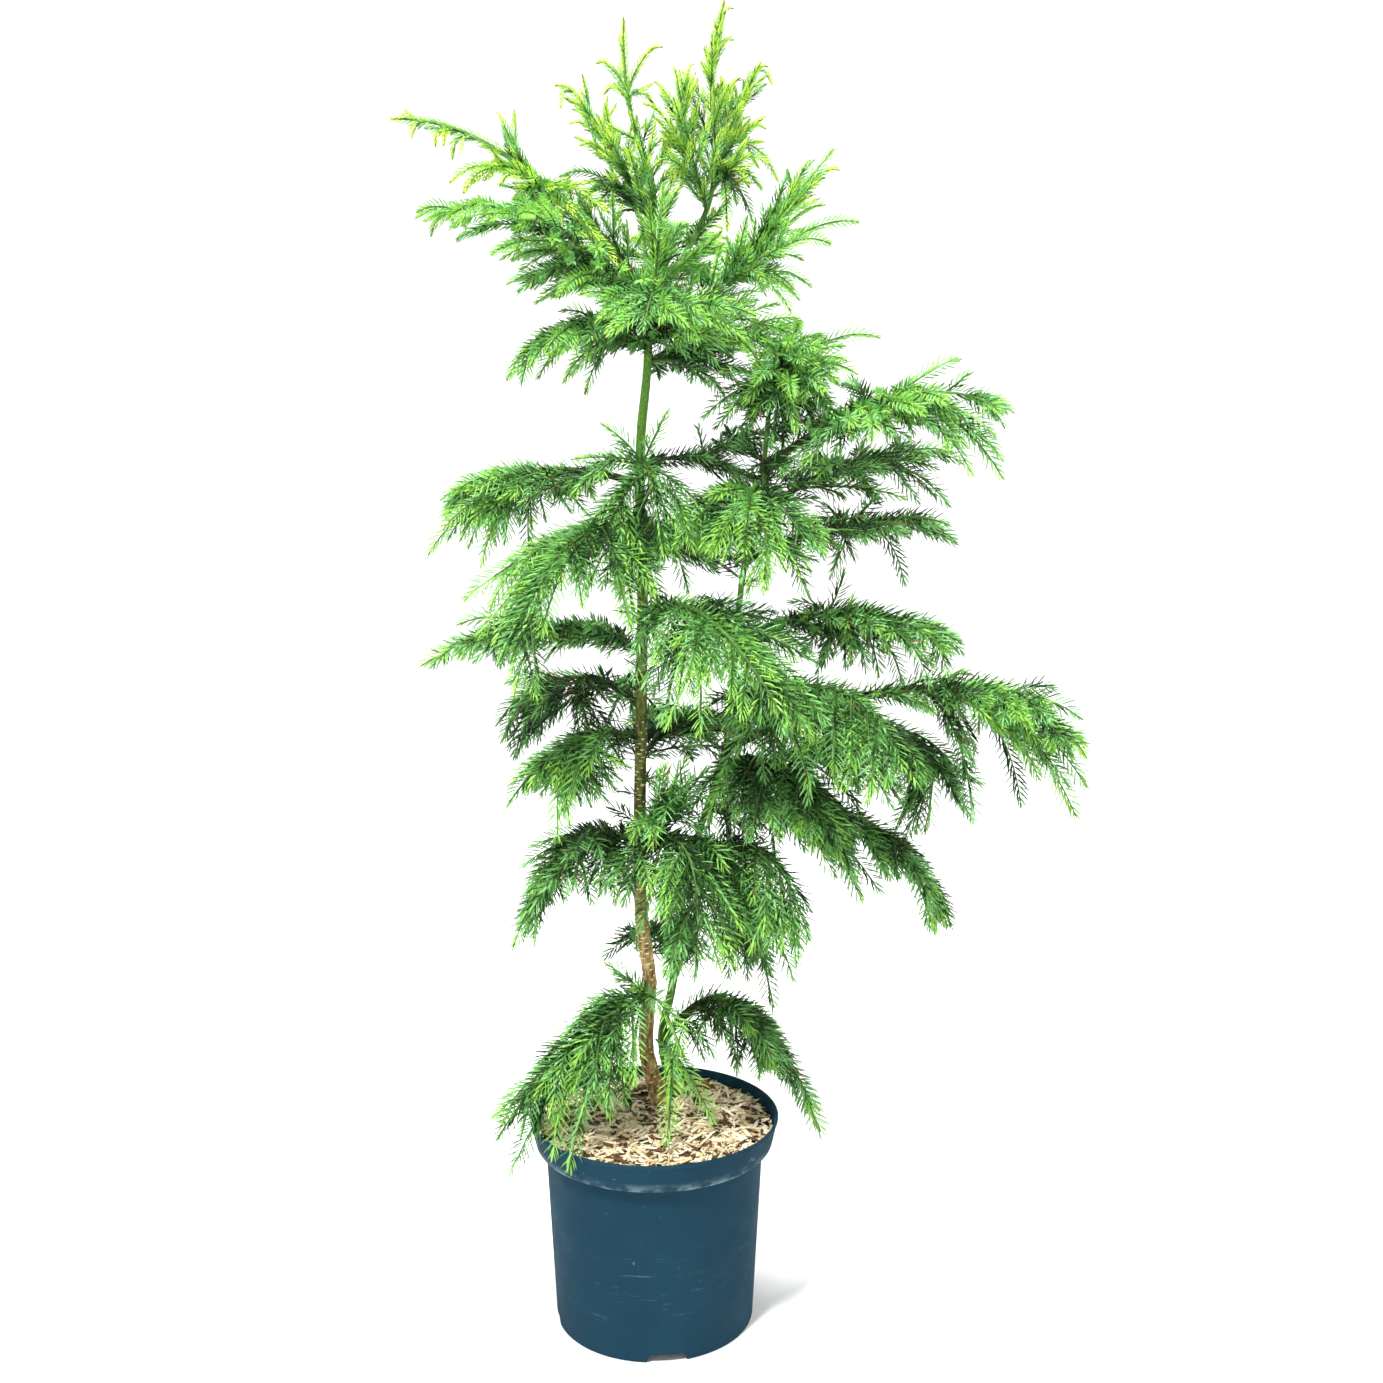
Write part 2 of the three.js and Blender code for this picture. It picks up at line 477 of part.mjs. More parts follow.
// The last stretch of a spray's own stem, as a twig of its own
function lastTwig(curve) {
  const from = SPRAY_STEM_END - 4 / curve.getLength();
  const root = curve.getPoint(from);
  const tip = curve.getPoint(1);
  return archCurve(root, curve.getPoint((1 + from) / 2), tip);
}

// One spray: the bare bough, the stem that goes on from it, and the twigs it may grow
function startSpray(row, order) {
  const habit = HABITS[row.habit];
  const carrier = STEMS[row.on];
  const leaving = shareAtHeight(carrier.curve, row.leaves);
  const root = carrier.curve.getPoint(leaving);
  const curve = archCurve(root, vector(row.arch), vector(row.tip));
  const length = curve.getLength();
  const across = acrossArc(curve);
  const draw = seeded(SEED + order);
  const spray = { name: row.name, root, habit };

  if (row.bough) {
    const thick = BOUGH_RADIUS.least + BOUGH_RADIUS.perLength * length;
    const radiusAt = (t) => thick * (1 - (1 - BOUGH_RADIUS.left) * t);
    const bare = limb(curve, { to: row.bough, facets: 5, steps: 4, radiusAt, across });
    spray.bough = clearOfStem(bare, curve, carrier, leaving);
  }

  const start = row.bough ? row.bough + GAP / length : 0;
  const leafyRadius = (t) => between([SPRAY_STEM_RADIUS.foot, SPRAY_STEM_RADIUS.tip], t);
  const reach = { from: start, to: SPRAY_STEM_END };
  const whole = limb(curve, { ...reach, facets: 3, steps: 4, radiusAt: leafyRadius, across });
  const leafyStem = row.bough ? whole : clearOfStem(whole, curve, carrier, leaving);
  spray.start = curve.getPoint(start);
  spray.parts = [leafyStem];

  const from = start + STEM_CLEAR / length;
  const forks = row.forks.map(([share, tip]) =>
    forkTwig(curve, from + (SPRAY_STEM_END - from) * share, vector(tip), habit),
  );
  const facing = (most) => radians(most) * (2 * draw() - 1);
  spray.reaching = [lastTwig(curve), ...forks].map((twig) => ({ ways: [twig], facing: facing(45) }));
  spray.filling = sideTwigs(curve, from, habit, draw).map((ways) => ({ ways, facing: facing(75) }));
  return spray;
}

const axes = [0, 1, 2];
const boxesMeet = (a, b) => axes.every((i) => a.min[i] - CLEAR < b.max[i] && b.min[i] - CLEAR < a.max[i]);

function isClear(blade, others) {
  const box = blade.boundingBox();
  const near = others.filter((other) => boxesMeet(box, other.boundingBox()));
  return near.every((other) => blade.minGap(other, CLEAR) >= CLEAR);
}

// Every spray grows its reaching twigs first and then its filling ones. A twig that would touch another
// spray or a limb is left out, and so is a filling twig that would touch another twig of its own spray.
function growSprays(sprays, fixed) {
  const limbs = [...fixed, ...sprays.map(({ bough }) => bough).filter(Boolean)];
  for (const kind of ["reaching", "filling"]) {
    for (const spray of sprays) {
      const otherSprays = sprays.filter((other) => other !== spray);
      const others = [...limbs, ...otherSprays.flatMap(({ parts }) => parts)];
      for (const { ways, facing } of spray[kind]) {
        const [, ...ownTwigs] = kind === "filling" ? spray.parts : [];
        const tries = ways.flatMap((twig) =>
          WIDTHS_TRIED.map((share) => () => toothedBlade(twig, share * spray.habit.halfWidth, facing)),
        );
        const blade = firstThat((made) => isClear(made, [...others, ...ownTwigs]), tries);
        if (blade) spray.parts.push(blade);
      }
    }
  }
}

// Pot

// The pot's outside from its foot up, then its inside back down, as radius and height
function potProfile() {
  const collarFoot = POT_HEIGHT - COLLAR_HEIGHT;
  const outside = [
    [0, 0], [FOOT_RADIUS - 3, 0], [FOOT_RADIUS + 0.2, 4], [SHOULDER_RADIUS, collarFoot - 3.5],
    [COLLAR_FOOT_RADIUS, collarFoot + 1], [RIM_RADIUS - 0.3, POT_HEIGHT - 2], [RIM_RADIUS - 1, POT_HEIGHT],
  ];
  const inside = [
    [RIM_RADIUS - 2.8, POT_HEIGHT], [COLLAR_FOOT_RADIUS - WALL, collarFoot + WALL + 1],
    [SHOULDER_RADIUS - WALL, collarFoot - 1.4], [FOOT_RADIUS - WALL + 0.2, FLOOR + 2],
    [FOOT_RADIUS - WALL - 3, FLOOR], [0, FLOOR],
  ];
  return { outside, inside };
}

function turned(profile) {
  const points = profile.map(([radius, height]) => new THREE.Vector2(radius, height));
  const geometry = new THREE.LatheGeometry(points, POT_FACETS);
  geometry.rotateX(Math.PI / 2);
  return solidFrom(geometry);
}

// A block along a drain channel, with sloping sides, `extra` larger all round
function channelBlock(extra) {
  const [low, high] = [DRAIN_WIDTH / 2 + extra, DRAIN_TOP_WIDTH / 2 + extra];
  const outline = new THREE.Shape([
    new THREE.Vector2(-low, -1),
    new THREE.Vector2(low, -1),
    new THREE.Vector2(high, DRAIN_HEIGHT + extra),
    new THREE.Vector2(-high, DRAIN_HEIGHT + extra),
  ]);
  const start = DRAIN_START - extra;
  const block = new THREE.ExtrudeGeometry(outline, { depth: RIM_RADIUS - start, bevelEnabled: false });
  block.rotateX(Math.PI / 2);
  block.translate(0, -start, 0);
  return solidFrom(block);
}

const drainTurns = Array.from({ length: DRAIN_COUNT }, (_, i) => DRAIN_TURN + (360 / DRAIN_COUNT) * i);
const roundAxis = (solid, degrees) => solid.rotate([0, 0, degrees]);

function drainHoles() {
  return DRAIN_HOLES_AT.map((radius) => {
    const hole = new THREE.CylinderGeometry(DRAIN_HOLE_RADIUS, DRAIN_HOLE_RADIUS, 3 * DRAIN_HEIGHT, 10);
    hole.rotateX(Math.PI / 2);
    hole.translate(0, -radius, 0);
    return solidFrom(hole);
  });
}

function makePot() {
  const { outside, inside } = potProfile();
  const filled = turned([...outside, [0, POT_HEIGHT], [0, 0]]);
  let pot = turned([...outside, ...inside, [0, 0]]);
  for (const turn of drainTurns) {
    pot = pot.add(roundAxis(channelBlock(WALL), turn).intersect(lowSlab()).intersect(filled));
  }
  for (const turn of drainTurns) {
    pot = pot.subtract(roundAxis(channelBlock(0), turn));
    for (const hole of drainHoles()) pot = pot.subtract(roundAxis(hole, turn));
  }
  return pot;
}

// Everything under the top of the humps over the drain channels
function lowSlab() {
  const height = DRAIN_HEIGHT + WALL;
  const slab = new THREE.BoxGeometry(2 * RIM_RADIUS, 2 * RIM_RADIUS, height);
  slab.translate(0, 0, height / 2);
  return solidFrom(slab);
}

// Soil fills the pot to just under its rim, with flakes of wood mulch lying on it
function makeSoil() {
  const collarFoot = POT_HEIGHT - COLLAR_HEIGHT;
  const slip = WALL + GAP;
  let soil = turned([
    [0, FLOOR + GAP], [FOOT_RADIUS - slip - 3.4, FLOOR + GAP], [FOOT_RADIUS - slip + 0.2, FLOOR + 3.4],
    [SHOULDER_RADIUS - slip - 0.1, collarFoot - 1],
    [COLLAR_FOOT_RADIUS - slip - 0.3, collarFoot + WALL + 1.5],
    [COLLAR_FOOT_RADIUS - slip + 3.6, SOIL_LEVEL - SOIL_FALL], [COLLAR_FOOT_RADIUS - 6, SOIL_LEVEL],
    [0, SOIL_LEVEL], [0, FLOOR + GAP],
  ]);
  for (const turn of drainTurns) soil = soil.subtract(roundAxis(channelBlock(WALL + GAP), turn));
  const draw = seeded(SEED);
  const chips = [];
  while (chips.length < CHIP_COUNT) {
    const radius = 116 * Math.sqrt(draw());
    const turn = 2 * Math.PI * draw();
    const lies = new THREE.Vector3(radius * Math.cos(turn), radius * Math.sin(turn), SOIL_LEVEL);
    const size = [CHIP.length, CHIP.width, CHIP.thickness].map((range) => between(range, draw()));
    const yaw = Math.PI * draw();
    const feet = [TRUNK_ROUTE[0], SECOND_ROUTE[0]].map(vector);
    if (feet.some((foot) => foot.distanceTo(lies) < 30)) continue;
    const chip = new THREE.BoxGeometry(...size);
    chip.rotateX(0.25 * (draw() - 0.5)).rotateZ(yaw).translate(lies.x, lies.y, lies.z);
    chips.push(solidFrom(chip));
  }
  return wasm.Manifold.union([soil, ...chips]);
}

// Materials

const plastic = new THREE.MeshStandardMaterial({ color: 0x2b4a59, roughness: 0.5, metalness: 0 });
const mulch = new THREE.MeshStandardMaterial({ color: 0xcbb285, roughness: 0.95, metalness: 0 });
const bark = new THREE.MeshStandardMaterial({ color: 0x7b5a3b, roughness: 0.9, metalness: 0 });
const greenBark = new THREE.MeshStandardMaterial({ color: 0x5d8a37, roughness: 0.8, metalness: 0 });
const foliage = Object.fromEntries(
  Object.entries(HABITS).map(([name, { color }]) => [
    name,
    new THREE.MeshStandardMaterial({ color, roughness: 0.7, metalness: 0, flatShading: true }),
  ]),
);

// Assembly

const origin = new THREE.Vector3();
const container = new THREE.Group();
const pot = makePot();
const soil = makeSoil();
container.add(meshAt("pot", pot, origin, plastic), meshAt("soil", soil, origin, mulch));

const sprays = SPRAYS.map(startSpray);
growSprays(sprays, [pot, soil, ...Object.values(STEMS).map(({ solid }) => solid)]);

const plant = new THREE.Group();
plant.add(meshAt("trunk", trunk.solid, vector(TRUNK_ROUTE[0]), bark));
plant.add(meshAt("second_stem", secondStem.solid, vector(SECOND_ROUTE[0]), greenBark));
plant.add(meshAt("co_leader", coLeader.solid, vector(CO_ROUTE[0]), greenBark));
sprays.forEach((spray, i) => {
  const { name, root, start, bough, parts } = spray;
  if (bough) plant.add(meshAt(`bough_${name}`, bough, root, bark));
  const joined = largestBody(wasm.Manifold.union(parts));
  plant.add(meshAt(`spray_${name}`, joined, start, foliage[SPRAYS[i].habit]));
});

const cedar = new THREE.Group();
cedar.add(container, plant);
export default cedar;
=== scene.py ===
# A young sekkan cedar in a round nursery pot: bark, twigs, needles, mulch and plastic, around its CAD frame.
# The plant grows by the same rule as the CAD solids, in millimetres, carried on to finer twigs and needles.
import math
from typing import NamedTuple

import bpy
import numpy as np
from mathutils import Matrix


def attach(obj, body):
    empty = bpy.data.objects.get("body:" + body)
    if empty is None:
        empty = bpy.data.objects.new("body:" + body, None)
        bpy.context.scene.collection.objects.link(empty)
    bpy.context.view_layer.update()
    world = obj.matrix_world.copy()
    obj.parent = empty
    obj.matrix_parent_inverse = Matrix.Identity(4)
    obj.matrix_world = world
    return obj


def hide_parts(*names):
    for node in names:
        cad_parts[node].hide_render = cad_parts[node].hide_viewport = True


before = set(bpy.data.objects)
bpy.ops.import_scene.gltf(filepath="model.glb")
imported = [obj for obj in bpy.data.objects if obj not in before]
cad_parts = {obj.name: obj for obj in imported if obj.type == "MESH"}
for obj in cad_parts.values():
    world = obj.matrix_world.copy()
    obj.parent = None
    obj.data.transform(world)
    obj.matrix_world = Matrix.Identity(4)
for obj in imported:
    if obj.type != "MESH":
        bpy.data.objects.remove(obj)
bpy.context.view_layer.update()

MM = 0.001
NODES = [str(name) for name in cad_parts]

# Camera: where the photograph was taken from
PHOTO_SIDE = 1383
FOCAL_PIXELS = 1550
SENSOR_MM = 36
CAMERA_PLACE = (0.0426, -1.6923, 0.9688)
CAMERA_PITCH = -8.108  # degrees, looking down

# Pot, in millimetres, and the turn of its first drain channel in degrees
FOOT_RADIUS = 114.5
SHOULDER_RADIUS = 124
COLLAR_FOOT_RADIUS = 134.5
RIM_RADIUS = 142
COLLAR_HEIGHT = 33
POT_HEIGHT = 240.5
WALL = 2.3
BASE_THICKNESS = 12  # the visible pot is solid up to here, under the compost
DRAIN = {"count": 4, "start": 42, "width": 50, "top_width": 36, "height": 9.5, "below": 2, "turn": 8}
FILLET_STEPS = 4
POT_SEGMENTS = 192
SHARP_EDGE = 40  # degrees

# Compost, in millimetres: the mulch's level, where the compost meets the pot, its mound at the stems, its
# lumps as grain and height, how low it lies under the mulch and how far it dips at its edge
SOIL_LEVEL = 230
SOIL_EDGE = RIM_RADIUS - 7.2
SOIL_MIDDLE = 2
SOIL_FOOT = (FOOT_RADIUS - 5, BASE_THICKNESS + 0.5)  # radius and height
SOIL_SHOULDER = (SHOULDER_RADIUS - 3.2, 200)
SOIL_MOUND = {"x": 12, "y": 52, "height": 3.5, "radius": 38}
SOIL_LUMPS = ((9, 1.6), (3.5, 1))
SOIL_LOW = 3.5
SOIL_DIP = 3
SOIL_RINGS = 70
SOIL_SEGMENTS = 200

# Mulch: its chips, where the compost shows between them, and how the chips lie
CHIPS = {"count": 3400, "length": (10, 33), "width": (1.7, 4.8), "thickness": (0.8, 2)}
CHIP_SHARES = {"cream": 0.46, "straw": 0.3, "brown": 0.22, "red_bark": 0.02}
RED_BARK = {"length": (1.1, 4), "width": (2.2, 3)}  # its pieces are larger, by a factor and by millimetres
MULCH_EDGE = RIM_RADIUS - 9
MULCH_OVER = 3  # a chip's end may reach past the edge by this much
LEAST_CHIP = 6
CHIP_HEIGHT = (0.5, 6.5)  # over the compost
CHIP_TILT = 0.24  # how much the chips tilt, roll and twist, as a deviation in radians
CHIP_TWIST = 0.5
CHIP_BEND = 0.12  # of its length
# The place, width and thickness of a chip at its ends and between
CHIP_STATIONS = ((-0.5, 0.35, 0.5), (-0.22, 1, 1), (0.2, 0.85, 0.9), (0.5, 0.25, 0.4))
BARE_SOIL = {"x": -22, "y": 72, "half_width": 56, "half_depth": 42, "share": 0.94}

# Stems: their routes and radii, in millimetres, as the CAD solids have them
STEM_ROUTES = {
    "trunk": [
        (8, 45, SOIL_LEVEL), (-10, 40, 300), (-6, 30, 387), (-14, 22, 461), (-16, 15, 545), (-13, 5, 717),
        (-11, 0, 829), (-13, 0, 916), (-12, 0, 1002), (-5, 0, 1076), (-2, 0, 1149), (4, 5, 1211),
        (0, 5, 1274), (-13, 5, 1312), (-22, 5, 1342),
    ],
    "second_stem": [
        (22, 67, SOIL_LEVEL), (8, 58, 305), (19, 60, 364), (24, 62, 401), (33, 65, 492), (52, 60, 557),
        (83, 45, 668), (99, 30, 849), (120, 20, 926), (122, 10, 980), (127, 0, 1044),
    ],
    "co_leader": [(0, 3, 1152), (20, 10, 1174), (37, 15, 1200), (60, 20, 1248), (69, 20, 1291)],
}
STEM_RADII = {
    "trunk": {"foot": 8.6, "top": 2.2, "flare": 5, "flare_height": 26},
    "second_stem": {"foot": 5.3, "top": 2.4, "flare": 2.5, "flare_height": 16},
    "co_leader": {"foot": 3.8, "top": 2.4, "flare": 0, "flare_height": 1},
}
BOUGH_RADIUS = {"least": 2, "per_length": 0.009, "left": 0.25}
BOUGH_FLARE = {"share": 0.5, "length": 5}
BOUGH_OVERLAP = 0.02  # a bough's bark runs on under its foliage by this share of its spray
BOUGH_SIDES = 14
BOUGH_STEP = 1.5

# Bark: the heights between which the trunk turns smooth, the relief in millimetres below and above them, and
# what it is made of
SMOOTH_FROM = (430, 620)
RELIEF = {"trunk": (1.15, 0.22), "second_stem": (0.3, 0.3), "co_leader": (0.2, 0.2), "bough": (0.35, 0.35)}
PLATES = {"size": (3.2, 3.2, 9), "share": 0.4}
GRAIN = {"size": (1.4, 1.4, 3.2), "share": 0.3}
KNOTS = {"size": (6, 6, 7), "share": 1.1, "from": 0.2}
RIBS = {"height": 0.12, "winding": 0.03}
STEM_RIBS = 7
BOUGH_RIBS = 5

# Scars of fallen needles: from how far along the trunk up to which share of it, their half width and half
# height, how many radians they lie off their turn, and how they stand in the bark
SCARS = {"count": 300, "from": 12, "up_to": 0.42, "wide": (1.8, 4.2), "high": (0.9, 2.1), "off_turn": 0.4}
SCAR_CORNERS = 6
SCAR_RELIEF = {"stands": 0.3, "rim_sunk": 0.9, "lip": 0.8, "lip_drop": 0.2, "root": 2}

# Twigs, in millimetres: their radii at foot and tip, and where they start
SPRAY_STEM_RADII = (2.3, 0.9)
STRAND_RADII = (1.2, 0.6)
SIDE_RADII = {"foot": 0.9, "per_length": 0.006, "tip": 0.6}
STEM_TWIG_RADII = (1.1, 0.6)
FINE_RADII = (0.8, 0.5)
IN_BARK = 0.1  # the leafy stem is thinner than its bough's bark by this
SPRAY_STEM_END = 0.72  # a fork's share counts from the start of the leafy part up to here
STEM_CLEAR = 15  # a spray's forks and its first row of side twigs start this far from what carries it
GAP = 0.3  # between a bough's end and its foliage in the solids
FINE_FROM = {"side": 0.12, "stem": 0.2}  # finer twigs start here on a side twig, and on a stem's own twig
LEAST_REACH = 12  # no side twig or finer twig is shorter
REACHES_TRIED = (1, 0.75, 0.5)  # a twig that has no room is made shorter before it is left out

# How the foliage grows: side twigs leave their stem by `spread` degrees, reach this far and hang by `weep`.
# They leave it up to the share `branched` of its leafy part, so that the tips of upright shoots are plain.
# `between` is how many times closer a second row of them stands, and `fine` says how their own twigs grow.
HABITS = {
    "shoot": {
        "spacing": 60, "spread": 38, "reach": 62, "weep": -0.15, "two_ranked": False, "branched": 0.66,
        "between": 5, "fine": {"spacing": 16, "spread": 36, "reach": 34, "weep": -0.1, "branched": 0.55},
    },
    "spray": {
        "spacing": 85, "spread": 48, "reach": 112, "weep": 0.25, "two_ranked": True, "branched": 0.88,
        "between": 6, "fine": {"spacing": 26, "spread": 42, "reach": 62, "weep": 0.3, "branched": 0.66},
    },
    "weeping": {
        "spacing": 90, "spread": 46, "reach": 112, "weep": 0.7, "two_ranked": True, "branched": 0.88,
        "between": 6, "fine": {"spacing": 29, "spread": 38, "reach": 68, "weep": 0.6, "branched": 0.6},
    },
}
NOD = {"shoot": 20, "spray": 10, "weeping": 0}  # how far a stem's tip bows over at its end
NOD_FROM = 0.68
FORK_NOD = 0.7  # of the stem's
SIDE_NOD = 0.3
FORK_LEAD = {"flat": 0.4, "round": 0.65}  # how much of its first half a fork follows its stem
FORK_RISE = 0.12  # how much of its length a fork of a flat spray lifts
GOLDEN_TURN = 137.5  # degrees from one side twig to the next round an upright shoot
SIDE_SHORTER = 0.55  # the last side twigs are shorter by this share
FINE_LONGEST = 0.7  # of what is left of the twig that carries it
UPRIGHT_STEM = 0.2  # a stem or twig that leans less than this has no level side of its own
UPRIGHT_TWIG = 0.15

# How drawn numbers change a twig: the least and how much more of its place in its row, of its spread and of
# its reach, and how many degrees it turns
SIDE_PLAY = {"place": (0.35, 0.3), "turn": 40, "spread": (0.85, 0.3), "reach": (0.8, 0.4)}
FINE_PLAY = {"place": (0.3, 0.4), "turn": 60, "spread": (0.8, 0.4), "reach": (0.7, 0.45)}
STEM_PLAY = {"spread": (0.8, 0.4), "reach": (0.5, 0.6)}
STEM_TWIG_SPREAD = 12  # degrees more than a side twig's

# Seeds of the drawn numbers
SEED = 2503
FINER_SEED = 3 * SEED
STEM_TWIG_SEED = 7 * SEED
SCAR_SEED = SEED + 1
MULCH_SEED = SEED + 2

# Painted shade, from 0 to 1 for the darkest: darker tones inside each spray, on the stems' own twigs and
# deep inside the crown, where shade falls; in part it is also the darker old needles there
INNER_SHADE = 0.85
INNER_REACH = 0.75  # of the spray's length
INNER_AT = 0.6  # the share of a twig that says how far inside it is
STEM_SHADE = 0.75
DEPTH_SHADE = 0.9  # at the crown's axis, less and less out to a radius, and none near the top
DEPTH_RADIUS = 170
DEPTH_TOP = (1000, 1250)
DEPTH_AT = 0.7
CROWN_AXIS = {"heights": (SOIL_LEVEL, 1000), "across": (0, 60), "back": 20}
LIGHT_SPRAY_DARK = 0.5  # how much of that painted shade a light spray takes


class Spray(NamedTuple):
    """A spray of foliage: its stem, the height where it leaves that, its middle, its tip and how it grows.

    A fork is given as the share of the leafy part where it leaves and as its end, and `inner` are finer ones
    inside the outline. `bough` is the share that is a bare limb, and twigs hide it from the share `bare` of
    that. `shade` darkens its needles, as painted shade for sprays at the back or inside the crown; below 0
    it gives more of the lighter tones, as painted light for sprays out in front. A `plain` spray has no
    finer twigs.
    """

    name: str
    stem: str
    leaves: float
    arch: tuple
    tip: tuple
    habit: str
    forks: list
    inner: tuple = ()
    bough: float = 0
    bare: float = 0.3
    shade: float = 0
    plain: bool = False


